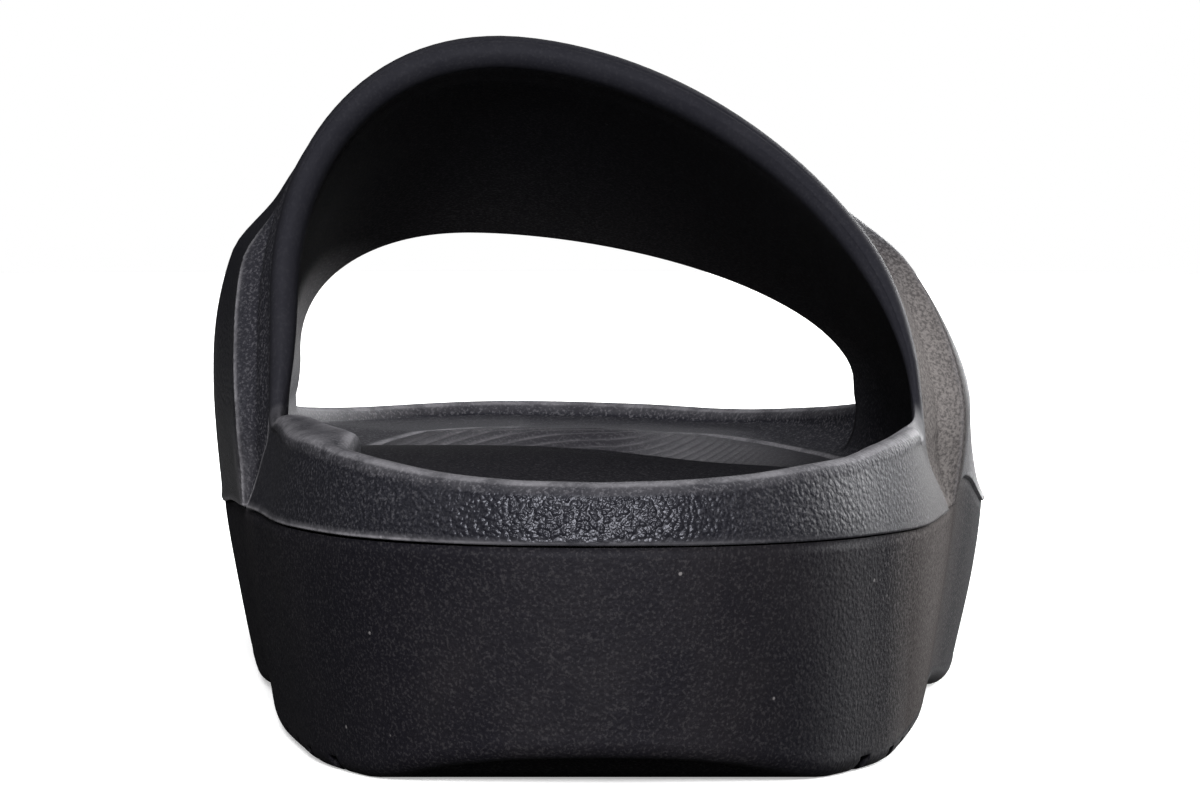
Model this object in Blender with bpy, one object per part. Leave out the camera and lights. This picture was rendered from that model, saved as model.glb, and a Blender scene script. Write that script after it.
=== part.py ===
"""Sport slide sandal for the right foot: a moulded upper, a sole and a ribbed insole.

+Y runs from heel to toe, +X to the outer (lateral) side and +Z up. The origin is on the floor,
under the middle of the shoe. Tables give places along the shoe as shares of LENGTH, from the
heel, and places across it as shares of WIDTH, from the shoe's axis.
"""

import math
from collections import namedtuple

import bmesh
import bpy
from mathutils import Vector

# Overall sizes, in metres
LENGTH = 0.290  # heel to toe, at the parting line
WIDTH = 0.118  # across the ball of the foot
SOLE_HEIGHT = 0.0334  # parting line over the floor, at the heel
COLLAR_HEIGHT = 0.0086  # rim of the heel collar over the parting line, at the back
STRAP_RISE = 0.0658  # crown of the strap over the heel's parting line

# Walls and edges of the upper
STRAP_WALL = 0.0050  # wall of the strap at its crown
RIM_WIDTH = 0.0052  # flat top of the heel and toe rims, from the shoe's outline
RIM_ROUND = 0.0020  # radius of the rims' outer edge
RIM_LEAN = 0.0012  # how far the rim stands inside the parting line
COVE_DEPTH = 0.0038  # depth of the cove between the collar and the strap's outer panel
PANEL_THICKNESS = 0.0030  # step up to the outer panel, on both flanks of the strap
PANEL_FADE = (0.50, 0.64)  # over these shares of STRAP_RISE the panel runs out toward the crown
BED_MARGIN = 0.0150  # from the outline to the insole, at the instep

# Insole and sole
INSOLE_THICKNESS = 0.0035
SEAM_INSET = 0.0008  # the sole's side stands this far inside the upper's lower edge
SIDE_TAPER = 0.0042  # how far the sole's side runs in, from parting line to floor
FLOOR_ROUND = 0.0030  # radius of the sole's lower edge
TOE_SPRING = 0.0110
HEEL_BEVEL = 0.0045
ARCH_LIFT = 0.0025
GROOVE_DEPTH = 0.0022
GROOVE_WIDTH = 0.0034
GROOVE_PITCH = 0.0125
GAP = 0.0003  # between pieces that meet

# Round ends of the plan outline: depth along the shoe, place of the end's point, and squareness
HEEL_END = 0.050
TOE_END = 0.060
HEEL_POINT = -0.004
TOE_POINT = -0.119
HEEL_SQUARE = 2.2
TOE_SQUARE = 2.0

# Squareness of the strap's arch over the inner and the outer side of the foot
MEDIAL_SQUARE = 2.15
LATERAL_SQUARE = 1.76
EDGE_SWEEP = 1.15  # how late the strap's edges sweep forward as they rise

# Steps of the meshes
WALL_ROWS = 8
MEDIAL_ROWS = 12
LATERAL_ROWS = 14
HEEL_STATIONS = 10
ROOT_STATIONS = (0.90, 0.94, 0.975)
TOE_STATIONS = 10
STRAP_FILL = 3
BED_COLUMNS = 10
SIDE_ROWS = 5
ROUND_ROWS = 3

Sides = namedtuple("Sides", "along medial lateral")
Bed = namedtuple("Bed", "along medial inner outer lateral")
Floor = namedtuple("Floor", "along bevel arch spring")
Flank = namedtuple("Flank", "foot along across shoulder cove panel wall")
Arch = namedtuple("Arch", "along crown across wall medial lateral")
Finish = namedtuple("Finish", "colour roughness")

# Plan outline at the parting line, before its ends are rounded
OUTLINE = (
    Sides(0.000, -0.377, 0.352),
    Sides(0.079, -0.373, 0.358),
    Sides(0.138, -0.386, 0.378),
    Sides(0.272, -0.432, 0.418),
    Sides(0.431, -0.463, 0.453),
    Sides(0.569, -0.492, 0.492),
    Sides(0.655, -0.503, 0.501),
    Sides(0.776, -0.500, 0.453),
    Sides(0.862, -0.490, 0.385),
    Sides(0.934, -0.494, 0.358),
    Sides(1.000, -0.508, 0.356),
)

# Height of the parting line, in shares of SOLE_HEIGHT
PARTING = (
    Sides(0.000, 1.000, 1.000),
    Sides(0.200, 0.990, 0.973),
    Sides(0.293, 0.955, 0.955),
    Sides(0.345, 0.930, 0.961),
    Sides(0.379, 0.913, 1.006),
    Sides(0.424, 0.890, 1.003),
    Sides(0.472, 0.865, 0.966),
    Sides(0.521, 0.830, 0.870),
    Sides(0.569, 0.796, 0.800),
    Sides(0.690, 0.770, 0.770),
    Sides(0.810, 0.760, 0.760),
    Sides(0.914, 0.790, 0.790),
    Sides(1.000, 0.820, 0.820),
)

# Height of the rims over the parting line, in shares of COLLAR_HEIGHT
RIM = (
    Sides(0.000, 1.00, 1.00),
    Sides(0.045, 1.25, 1.20),
    Sides(0.079, 1.36, 1.28),
    Sides(0.103, 1.44, 1.40),
    Sides(0.155, 1.54, 1.58),
    Sides(0.190, 1.66, 1.78),
    Sides(0.215, 1.88, 2.00),
    Sides(0.238, 2.38, 2.38),
    Sides(0.780, 1.86, 1.86),
    Sides(0.830, 1.40, 1.40),
    Sides(0.900, 1.02, 1.02),
    Sides(0.970, 0.82, 0.80),
    Sides(1.000, 0.80, 0.80),
)

# Lean of the rims, in shares of RIM_LEAN
LEAN = (
    Sides(0.00, 0.0, 0.0),
    Sides(0.10, 0.2, 0.3),
    Sides(0.17, 0.8, 0.6),
    Sides(0.24, 0.7, 0.1),
    Sides(0.80, 1.0, 1.0),
    Sides(1.00, 1.0, 1.0),
)

# Width of the rims' top, in shares of RIM_WIDTH, with the shelf on the inner side of the heel
SHELF_END = 0.097
SHELF_RAMP = 0.004
RIM_TOP = (
    Sides(0.000, 1.00, 1.00),
    Sides(SHELF_END - SHELF_RAMP, 1.05, 1.00),
    Sides(SHELF_END + SHELF_RAMP, 1.72, 1.02),
    Sides(0.130, 1.86, 1.05),
    Sides(0.170, 1.74, 1.08),
    Sides(0.205, 1.50, 0.98),
    Sides(0.238, 0.95, 0.74),
    Sides(0.830, 1.20, 1.20),
    Sides(1.000, 1.00, 1.00),
)

# From the outline to the insole's edge, in shares of BED_MARGIN
MARGIN = (
    Sides(0.00, 0.87, 0.87),
    Sides(0.10, 0.82, 0.80),
    Sides(0.24, 0.80, 0.76),
    Sides(0.43, 1.00, 0.87),
    Sides(0.55, 1.13, 0.85),
    Sides(0.69, 1.10, 0.83),
    Sides(0.80, 1.07, 0.93),
    Sides(0.86, 1.20, 1.00),
    Sides(0.92, 1.50, 1.25),
    Sides(1.00, 1.67, 1.67),
)

# Height of the footbed on four lines along it, in shares of SOLE_HEIGHT
BED_LINES = (-1.0, -0.33, 0.33, 1.0)
FOOTBED = (
    Bed(0.045, 1.072, 1.036, 1.033, 1.060),
    Bed(0.172, 0.998, 0.930, 0.928, 0.985),
    Bed(0.328, 1.090, 1.035, 1.000, 1.005),
    Bed(0.459, 1.117, 1.112, 1.040, 0.990),
    Bed(0.569, 1.018, 0.990, 0.955, 0.940),
    Bed(0.690, 0.832, 0.782, 0.778, 0.830),
    Bed(0.793, 0.838, 0.802, 0.802, 0.860),
    Bed(0.914, 0.938, 0.930, 0.925, 0.925),
)

# Underside of the sole: shares of HEEL_BEVEL, ARCH_LIFT and TOE_SPRING
FLOOR = (
    Floor(0.00, 1.00, 0.0, 0.00),
    Floor(0.08, 0.00, 0.0, 0.00),
    Floor(0.30, 0.00, 0.0, 0.00),
    Floor(0.42, 0.00, 1.0, 0.00),
    Floor(0.54, 0.00, 0.0, 0.00),
    Floor(0.74, 0.00, 0.0, 0.00),
    Floor(0.88, 0.00, 0.0, 0.35),
    Floor(1.00, 0.00, 0.0, 1.00),
)
TREADS = ((0.08, 0.30), (0.54, 0.92))  # stretches of the sole with cross grooves

# The strap's arches from its rolled rear rim to its front edge. Crown and shoulders are shares
# of STRAP_RISE over SOLE_HEIGHT; a flank's foot is its place at the parting line, its cove a
# share of COVE_DEPTH, its panel one of PANEL_THICKNESS, and the walls are of STRAP_WALL
ARCHES = {
    "rear": Arch(
        0.366, 0.979, -0.127, 0.34,
        Flank(0.2655, 0.238, -0.396, 0.435, 0.00, 0.00, 0.34),
        Flank(0.2620, 0.233, 0.392, 0.207, 0.00, 0.00, 0.34),
    ),
    "round": Arch(
        0.370, 0.992, -0.127, 0.72,
        Flank(0.2680, 0.241, -0.402, 0.435, 0.05, 0.00, 0.62),
        Flank(0.2645, 0.236, 0.398, 0.207, 0.05, 0.00, 0.60),
    ),
    "bead": Arch(
        0.378, 1.000, -0.127, 0.96,
        Flank(0.2720, 0.247, -0.405, 0.435, 0.25, 0.00, 0.78),
        Flank(0.2690, 0.242, 0.402, 0.207, 0.25, 0.00, 0.76),
    ),
    "crease": Arch(
        0.393, 0.987, -0.127, 0.82,
        Flank(0.2800, 0.263, -0.405, 0.435, 0.90, 0.00, 0.66),
        Flank(0.2780, 0.258, 0.402, 0.207, 0.80, 0.00, 0.58),
    ),
    "cove": Arch(
        0.402, 0.984, -0.127, 0.86,
        Flank(0.2860, 0.272, -0.409, 0.420, 1.00, 0.08, 0.70),
        Flank(0.2840, 0.266, 0.404, 0.207, 0.90, 0.08, 0.58),
    ),
    "bevel": Arch(
        0.417, 0.981, -0.131, 1.00,
        Flank(0.2990, 0.290, -0.421, 0.374, 0.55, 0.50, 0.92),
        Flank(0.2970, 0.284, 0.408, 0.191, 0.50, 0.50, 0.60),
    ),
    "step": Arch(
        0.434, 0.973, -0.136, 1.06,
        Flank(0.3155, 0.309, -0.428, 0.328, 0.00, 1.00, 0.98),
        Flank(0.3130, 0.303, 0.415, 0.185, 0.00, 1.00, 0.64),
    ),
    "instep": Arch(
        0.507, 0.883, -0.144, 1.04,
        Flank(0.4310, 0.431, -0.463, 0.267, 0.00, 1.00, 1.60),
        Flank(0.4310, 0.431, 0.434, 0.160, 0.00, 1.00, 0.70),
    ),
    "waist": Arch(
        0.586, 0.775, -0.157, 1.00,
        Flank(0.5620, 0.562, -0.477, 0.237, 0.00, 1.00, 1.70),
        Flank(0.5690, 0.569, 0.446, 0.135, 0.00, 1.00, 0.80),
    ),
    "ball": Arch(
        0.659, 0.666, -0.169, 0.94,
        Flank(0.6900, 0.690, -0.480, 0.207, 0.00, 1.00, 1.56),
        Flank(0.7070, 0.707, 0.430, 0.116, 0.00, 1.00, 0.92),
    ),
    "lip": Arch(
        0.722, 0.563, -0.178, 0.88,
        Flank(0.7910, 0.791, -0.460, 0.191, 0.00, 1.00, 1.16),
        Flank(0.8160, 0.816, 0.386, 0.116, 0.00, 0.80, 1.08),
    ),
    "front": Arch(
        0.734, 0.538, -0.182, 0.60,
        Flank(0.8030, 0.803, -0.455, 0.191, 0.00, 0.60, 1.02),
        Flank(0.8280, 0.828, 0.379, 0.116, 0.00, 0.50, 0.84),
    ),
}
FIRST_FILLED = "step"
LAST_FILLED = "lip"

FINISHES = {
    "upper": Finish((0.030, 0.031, 0.038), 0.52),
    "sole": Finish((0.026, 0.025, 0.029), 0.60),
    "insole": Finish((0.034, 0.032, 0.036), 0.66),
}


def clear_scene():
    """Remove every object that the scene starts with."""
    for thing in list(bpy.data.objects):
        bpy.data.objects.remove(thing, do_unlink=True)


def smooth(pairs, at):
    """Value at one place of a curve through (place, value) pairs that never overshoots them."""
    if at <= pairs[0][0]:
        return pairs[0][1]
    if at >= pairs[-1][0]:
        return pairs[-1][1]
    slopes = [(b[1] - a[1]) / (b[0] - a[0]) for a, b in zip(pairs, pairs[1:])]
    tangents = [slopes[0]]
    for before, after in zip(slopes, slopes[1:]):
        level = before * after <= 0.0
        tangents.append(0.0 if level else 2.0 * before * after / (before + after))
    tangents.append(slopes[-1])
    index = max(i for i, pair in enumerate(pairs[:-1]) if pair[0] <= at)
    (left, low), (right, high) = pairs[index], pairs[index + 1]
    span = right - left
    t = (at - left) / span
    return (
        (2 * t**3 - 3 * t**2 + 1) * low
        + (t**3 - 2 * t**2 + t) * span * tangents[index]
        + (3 * t**2 - 2 * t**3) * high
        + (t**3 - t**2) * span * tangents[index + 1]
    )


def column_of(table, name, at):
    """Smooth value of one named column of a table at a share of the length."""
    return smooth([(row.along, getattr(row, name)) for row in table], at)


def side_name(side):
    """Name of a side: -1 is the inner (medial) side and +1 the outer (lateral) one."""
    return "medial" if side < 0 else "lateral"


def flank_of(arch, side):
    """An arch's own sizes on one side."""
    return getattr(arch, side_name(side))


def outline_point(side, along):
    """Point of the plan outline on one side, with the ends rounded."""
    y = (along - 0.5) * LENGTH
    x = column_of(OUTLINE, side_name(side), along) * WIDTH
    if along < 0.5:
        point, depth, square = HEEL_POINT * WIDTH, HEEL_END, HEEL_SQUARE
    else:
        point, depth, square = TOE_POINT * WIDTH, TOE_END, TOE_SQUARE
    from_end = min(along, 1.0 - along) * LENGTH
    reach = max(0.0, 1.0 - from_end / depth)
    x = point + (x - point) * max(0.0, 1.0 - reach**square) ** (1.0 / square)
    return Vector((x, y))


def parting_height(side, along):
    return SOLE_HEIGHT * column_of(PARTING, side_name(side), along)


def rim_height(side, along):
    return parting_height(side, along) + COLLAR_HEIGHT * column_of(RIM, side_name(side), along)


def bed_height(along, across):
    """Height of the footbed; across runs from -1 at its inner edge to 1 at its outer edge."""
    lines = [column_of(FOOTBED, name, along) for name in Bed._fields[1:]]
    return SOLE_HEIGHT * smooth(list(zip(BED_LINES, lines)), across)


def floor_height(along):
    """Height of the sole's underside over the floor."""
    return (
        HEEL_BEVEL * column_of(FLOOR, "bevel", along)
        + ARCH_LIFT * column_of(FLOOR, "arch", along)
        + TOE_SPRING * column_of(FLOOR, "spring", along)
    )


def between(rows, kind, at):
    """A row of the given kind at one place between the table's rows."""
    return kind(*(smooth([(place, row[i]) for place, row in rows], at) for i in range(len(rows[0][1]))))


def filled_arches():
    """The table's arches, with smooth ones between them over the strap's broad outer face."""
    names = list(ARCHES)
    broad = [ARCHES[n] for n in names[names.index(FIRST_FILLED) : names.index(LAST_FILLED) + 1]]
    crowns = [(row.along, row[:4]) for row in broad]
    medial = [(row.along, row.medial) for row in broad]
    lateral = [(row.along, row.lateral) for row in broad]
    arches = [ARCHES[n] for n in names[: names.index(FIRST_FILLED)]]
    for row, following in zip(broad, broad[1:]):
        for part in range(STRAP_FILL):
            at = row.along + (following.along - row.along) * part / STRAP_FILL
            crown = between(crowns, lambda *values: values, at)
            arches.append(Arch(*crown, between(medial, Flank, at), between(lateral, Flank, at)))
    return arches + [ARCHES[n] for n in names[names.index(LAST_FILLED) :]]


class Column:
    """One upright section of the shoe's edge, from its foot at the parting line to its root.

    The root is the rim's edge, or where the strap leaves the wall. Columns beside the strap lean
    back as they rise, so the root lies nearer the heel than the foot.
    """

    def __init__(self, side, along, root_along, arch=None):
        self.side = side
        self.along = along
        self.root_along = root_along
        self.arch = arch
        self.foot = outline_point(side, along)
        self.root = outline_point(side, root_along)
        self.inward = Vector((0.0, 0.0))

    def point(self, inset, z, rise=0.0):
        """Point at an inset from the outline, a height and a share of the way to the root."""
        return Vector((*(self.foot.lerp(self.root, rise) + self.inward * inset), z))

    def share(self, table):
        return column_of(table, side_name(self.side), self.root_along)

    def parting(self):
        return parting_height(self.side, self.along)

    def rim(self):
        return rim_height(self.side, self.root_along)

    def margin(self):
        return BED_MARGIN * column_of(MARGIN, side_name(self.side), self.along)


def make_columns(arches):
    """Columns round the shoe: heel point, inner side, toe point, outer side back to the heel."""
    heel_turns = [math.pi / 2 * i / HEEL_STATIONS for i in range(HEEL_STATIONS)]
    toe_turns = [math.pi / 2 * i / TOE_STATIONS for i in range(TOE_STATIONS)]
    sides = []
    for side in (-1, 1):
        flanks = [flank_of(arch, side) for arch in arches]
        first, last = flanks[0], flanks[-1]
        steps = [1.0 - math.cos(turn) for turn in heel_turns] + list(ROOT_STATIONS)
        steps += [(SHELF_END + ramp) / first.along for ramp in (-SHELF_RAMP, SHELF_RAMP)]
        columns = [Column(side, first.foot * step, first.along * step) for step in sorted(steps)]
        columns += [Column(side, flank.foot, flank.along, arch) for flank, arch in zip(flanks, arches)]
        for turn in reversed(toe_turns):
            along = 1.0 - (1.0 - last.along) * (1.0 - math.cos(turn))
            columns.append(Column(side, along, along))
        sides.append(columns)
    inner, outer = sides
    columns = inner + outer[-2:0:-1]
    for index, column in enumerate(columns):
        before = columns[index - 1].foot
        after = columns[(index + 1) % len(columns)].foot
        run = (after - before).normalized()
        column.inward = Vector((run.y, -run.x))
    return columns


def square_of(side):
    return MEDIAL_SQUARE if side < 0 else LATERAL_SQUARE


def strap_height(share):
    """Height at a share of the strap's rise."""
    return SOLE_HEIGHT + STRAP_RISE * share


def panel_fade(z):
    """How much of the outer panel is left at a height: all of it low down, none at the crown."""
    low, high = (strap_height(share) for share in PANEL_FADE)
    return smooth([(low, 1.0), (high, 0.0)], z)


def arch_point(column, z=None, turn=None, inside=False):
    """Point of the strap's arch, at a height or at a turn from the shoulder (0) to the crown (1)."""
    arch, side, flank = column.arch, column.side, flank_of(column.arch, column.side)
    wall = STRAP_WALL * flank.wall if inside else 0.0
    top_wall = STRAP_WALL * arch.wall if inside else 0.0
    spring_x = flank.across * WIDTH - side * wall
    crown_x = arch.across * WIDTH
    crown_z = strap_height(arch.crown) - top_wall
    shoulder_z = strap_height(flank.shoulder)
    square = square_of(side)
    if turn is not None:
        angle = turn * math.pi / 2
        x = crown_x + (spring_x - crown_x) * math.cos(angle) ** (2.0 / square)
        z = shoulder_z + (crown_z - shoulder_z) * math.sin(angle) ** (2.0 / square)
    elif z > shoulder_z:
        lift = (z - shoulder_z) / (crown_z - shoulder_z)
        x = crown_x + (spring_x - crown_x) * (1.0 - lift**square) ** (1.0 / square)
    else:
        panel = PANEL_THICKNESS * flank.panel
        low_x = column.foot.x - side * (COVE_DEPTH * flank.cove + panel)
        drop = (shoulder_z - z) / (shoulder_z - column.parting())
        x = spring_x + (low_x - spring_x) * drop**2
    if not inside:
        x += side * PANEL_THICKNESS * flank.panel * panel_fade(z)
    root_z = column.rim()
    if z < root_z:
        rise = max(0.0, (z - column.parting()) / (root_z - column.parting()))
        return Vector((x, column.foot.y + (column.root.y - column.foot.y) * rise, z))
    sweep = min(1.0, (z - root_z) / (crown_z - root_z)) ** EDGE_SWEEP
    top_y = (arch.along - 0.5) * LENGTH
    return Vector((x, column.root.y + (top_y - column.root.y) * sweep, z))


def turn_at(column, z):
    """Turn of the outer arch at a height over its shoulder."""
    shoulder_z = strap_height(flank_of(column.arch, column.side).shoulder)
    lift = max(0.0, (z - shoulder_z) / (strap_height(column.arch.crown) - shoulder_z))
    return math.asin(lift ** (square_of(column.side) / 2.0)) / (math.pi / 2)


def outer_wall(column):
    """Outer face of the upper on one column, from the parting line to the rim or strap root."""
    low, high = column.parting() + GAP, column.rim()
    if column.arch:
        heights = [low + (high - low) * row / WALL_ROWS for row in range(WALL_ROWS + 1)]
        return [arch_point(column, z=z) for z in heights]
    upright = WALL_ROWS - ROUND_ROWS
    top = high - RIM_ROUND
    points = []
    lean = RIM_LEAN * column.share(LEAN)
    for row in range(upright + 1):
        rise = row / upright
        points.append(column.point(lean * rise, low + (top - low) * rise, rise))
    for row in range(1, ROUND_ROWS + 1):
        angle = math.pi / 2 * row / ROUND_ROWS
        inset = lean + RIM_ROUND * (1.0 - math.cos(angle))
        points.append(column.point(inset, top + RIM_ROUND * math.sin(angle), 1.0))
    return points


def inner_wall(column):
    """Inner face on one column, from under the insole's edge up to the rim or strap root."""
    edge_z = bed_height(column.along, column.side)
    edge = column.point(column.margin(), edge_z)
    if column.arch:
        top = arch_point(column, z=column.rim(), inside=True)
    else:
        top = column.point(RIM_WIDTH * column.share(RIM_TOP), column.rim(), 1.0)
    points = [column.point(column.margin(), edge_z - INSOLE_THICKNESS)]
    for row in range(WALL_ROWS):
        angle = math.pi / 2 * row / (WALL_ROWS - 1)
        out = edge.lerp(top, math.sin(angle))
        out.z = edge.z + (top.z - edge.z) * (1.0 - math.cos(angle))
        points.append(out)
    return points


def arch_span(inner_column, outer_column, inside):
    """Points of one arch between the wall rows of its two sides, from the inner side over."""
    points = []
    for column, rows in ((inner_column, MEDIAL_ROWS), (outer_column, LATERAL_ROWS)):
        start = turn_at(column, column.rim())
        half = []
        for row in range(1, rows):
            turn = start + (1.0 - start) * row / rows
            half.append(arch_point(column, turn=turn, inside=inside))
        if column is inner_column:
            half.append(arch_point(column, turn=1.0, inside=inside))
            points += half
        else:
            points += half[::-1]
    return points


class Sheet:
    """Vertices and faces of one closed body, collected before the mesh is made."""

    def __init__(self):
        self.mesh = bmesh.new()

    def row(self, points):
        return [self.mesh.verts.new(point) for point in points]

    def strip(self, first, second, closed=False):
        """Quads between two rows of as many vertices, with corners that fall together merged."""
        pairs = list(zip(first, second))
        following = pairs[1:] + pairs[:1] if closed else pairs[1:]
        for (a, b), (c, d) in zip(pairs, following):
            corners = list(dict.fromkeys((a, b, d, c)))
            if len(corners) > 2:
                self.mesh.faces.new(corners)

    def finish(self, name, collection):
        """Make the object, with its faces turned outward and its soft faces shaded smooth."""
        bmesh.ops.recalc_face_normals(self.mesh, faces=self.mesh.faces)
        data = bpy.data.meshes.new(name)
        self.mesh.to_mesh(data)
        self.mesh.free()
        data.shade_smooth()
        data.set_sharp_from_angle(angle=math.radians(40))
        thing = bpy.data.objects.new(name, data)
        collection.objects.link(thing)
        data.materials.append(make_material(name))
        return thing


def make_material(name):
    """Plain material of one piece."""
    finish = FINISHES[name]
    material = bpy.data.materials.new(name)
    material.use_nodes = True
    shader = material.node_tree.nodes["Principled BSDF"]
    shader.inputs["Base Color"].default_value = (*finish.colour, 1.0)
    shader.inputs["Roughness"].default_value = finish.roughness
    shader.inputs["Metallic"].default_value = 0.0
    return material


def pair_of(columns, station):
    """Inner and outer column of one cross section; the heel and toe points pair with themselves."""
    return columns[station], columns[-station]


def make_upper(columns, arches, collection):
    """One hollow moulding: collar, shelf, strap with its rolled rim and step, and toe rim."""
    sheet = Sheet()
    outer = [sheet.row(outer_wall(column)) for column in columns]
    inner = [sheet.row(inner_wall(column)) for column in columns]
    for wall in (outer, inner):
        for here, there in zip(wall, wall[1:] + wall[:1]):
            sheet.strip(here, there)
    sheet.strip([wall[0] for wall in outer], [wall[0] for wall in inner], closed=True)

    first = next(index for index, column in enumerate(columns) if column.arch)
    stations = range(first, first + len(arches))
    spans = {}
    for inside, walls in ((False, outer), (True, inner)):
        rows = []
        for station in stations:
            ends = pair_of(columns, station)
            middle = sheet.row(arch_span(*ends, inside))
            rows.append([walls[station][-1]] + middle + [walls[-station][-1]])
        for here, there in zip(rows, rows[1:]):
            sheet.strip(here, there)
        spans[inside] = rows
    for edge in (0, -1):
        sheet.strip(spans[False][edge], spans[True][edge])

    total = len(columns)
    last = stations[-1]
    heel = [index % total for index in range(total - first, total + first + 1)]
    toe = range(last, total - last + 1)
    for rim in (heel, toe):
        sheet.strip([outer[i][-1] for i in rim], [inner[i][-1] for i in rim])
    return sheet.finish("upper", collection)


def bed_rows(sheet, columns, inset, drop):
    """Rows across the footbed, station by station, at an inset past its edge and a drop."""
    rows = []
    for station in range(len(columns) // 2 + 1):
        ends = pair_of(columns, station)
        sides = [column.point(column.margin() + inset, 0.0) for column in ends]
        if ends[0] is ends[1]:
            point = sides[0]
            point.z = bed_height(ends[0].along, ends[0].side) - drop
            rows.append(sheet.row([point]) * (BED_COLUMNS + 1))
            continue
        points = []
        for step in range(BED_COLUMNS + 1):
            share = step / BED_COLUMNS
            point = sides[0].lerp(sides[1], share)
            along = ends[0].along + (ends[1].along - ends[0].along) * share
            point.z = bed_height(along, 2.0 * share - 1.0) - drop
            points.append(point)
        rows.append(sheet.row(points))
    return rows


def edge_loop(rows):
    """The outer loop of rows across the shoe, in the columns' own order."""
    inner = [row[0] for row in rows]
    outer = [row[-1] for row in rows]
    return inner + outer[-2:0:-1]


def make_insole(columns, collection):
    """The footbed's insert: a plate that follows the arch and the heel cup."""
    sheet = Sheet()
    top = bed_rows(sheet, columns, GAP, 0.0)
    bottom = bed_rows(sheet, columns, GAP, INSOLE_THICKNESS)
    for rows in (top, bottom):
        for here, there in zip(rows, rows[1:]):
            sheet.strip(here, there)
    sheet.strip(edge_loop(top), edge_loop(bottom), closed=True)
    return sheet.finish("insole", collection)


def sole_side(column):
    """Side of the sole on one column, from its round lower edge up to the parting line."""
    low = floor_height(column.along)
    high = column.parting()
    top = low + FLOOR_ROUND
    points = []
    for row in range(ROUND_ROWS):
        angle = math.pi / 2 * row / ROUND_ROWS
        inset = SEAM_INSET + SIDE_TAPER + FLOOR_ROUND * (1.0 - math.sin(angle))
        points.append(column.point(inset, top - FLOOR_ROUND * math.cos(angle)))
    for row in range(SIDE_ROWS + 1):
        rise = row / SIDE_ROWS
        inset = SEAM_INSET + SIDE_TAPER * (1.0 - rise) ** 1.3
        points.append(column.point(inset, top + (high - top) * rise))
    return points


def floor_rows(sheet, columns, sides):
    """Rows across the underside, between the lower edges of the two sides."""
    rows = []
    for station in range(len(columns) // 2 + 1):
        left, right = sides[station][0], sides[-station][0]
        if left is right:
            rows.append([left] * (BED_COLUMNS + 1))
            continue
        steps = [step / BED_COLUMNS for step in range(1, BED_COLUMNS)]
        middle = [left.co.lerp(right.co, share) for share in steps]
        rows.append([left] + sheet.row(middle) + [right])
    return rows


def make_sole(columns, collection, cutters):
    """The lower moulding: side, toe spring, arch, heel and the tread's cross grooves."""
    sheet = Sheet()
    sides = [sheet.row(sole_side(column)) for column in columns]
    for here, there in zip(sides, sides[1:] + sides[:1]):
        sheet.strip(here, there)
    top = bed_rows(sheet, columns, 0.0, INSOLE_THICKNESS + GAP)
    bottom = floor_rows(sheet, columns, sides)
    for rows in (top, bottom):
        for here, there in zip(rows, rows[1:]):
            sheet.strip(here, there)
    sheet.strip([side[-1] for side in sides], edge_loop(top), closed=True)
    sole = sheet.finish("sole", collection)
    grooves = make_grooves(cutters)
    cut = sole.modifiers.new("grooves", "BOOLEAN")
    cut.operation = "DIFFERENCE"
    cut.object = grooves
    return sole


def make_grooves(collection):
    """Cross grooves under the heel and the forefoot, as bars for one cutter."""
    bars = bmesh.new()
    for start, end in TREADS:
        count = max(1, int((end - start) * LENGTH / GROOVE_PITCH))
        for index in range(count):
            along = (start + end) / 2 + (index - (count - 1) / 2) * GROOVE_PITCH / LENGTH
            place = (0.0, (along - 0.5) * LENGTH, floor_height(along))
            bar = bmesh.ops.create_cube(bars, size=1.0)["verts"]
            bmesh.ops.scale(bars, verts=bar, vec=(WIDTH * 1.5, GROOVE_WIDTH, GROOVE_DEPTH * 2))
            bmesh.ops.translate(bars, verts=bar, vec=place)
    data = bpy.data.meshes.new("grooves")
    bars.to_mesh(data)
    bars.free()
    thing = bpy.data.objects.new("grooves", data)
    collection.objects.link(thing)
    thing.hide_render = True
    thing.display_type = "WIRE"
    return thing


def centre_on_origin(things, cutters):
    """Move every piece so that the origin lies under the middle of the whole shoe."""
    points = [vertex.co for thing in things for vertex in thing.data.vertices]
    middle = [(min(p[i] for p in points) + max(p[i] for p in points)) / 2 for i in range(2)]
    for thing in things + cutters:
        for vertex in thing.data.vertices:
            vertex.co.x -= middle[0]
            vertex.co.y -= middle[1]


def main():
    """Build the shoe."""
    clear_scene()
    parts = bpy.data.collections.new("slide_sandal")
    cutters = bpy.data.collections.new("cutters")
    for collection in (parts, cutters):
        bpy.context.scene.collection.children.link(collection)
    arches = filled_arches()
    columns = make_columns(arches)
    sole = make_sole(columns, parts, cutters)
    insole = make_insole(columns, parts)
    upper = make_upper(columns, arches, parts)
    centre_on_origin([sole, insole, upper], list(cutters.objects))


main()
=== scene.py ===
"""Dressed model of a moulded slide sandal for the right foot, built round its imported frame.

+Y runs from heel to toe, +X to the outer side and +Z up, in metres. Tables give places along the
shoe as shares of its length, from the heel, and places across it as shares of its width.
"""

from __future__ import annotations

import logging
import math
from bisect import bisect_right
from collections import namedtuple
from collections.abc import Callable, Sequence
from dataclasses import dataclass, field
from enum import Enum

import bmesh
import bpy
import numpy as np
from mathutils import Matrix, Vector, noise


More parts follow.
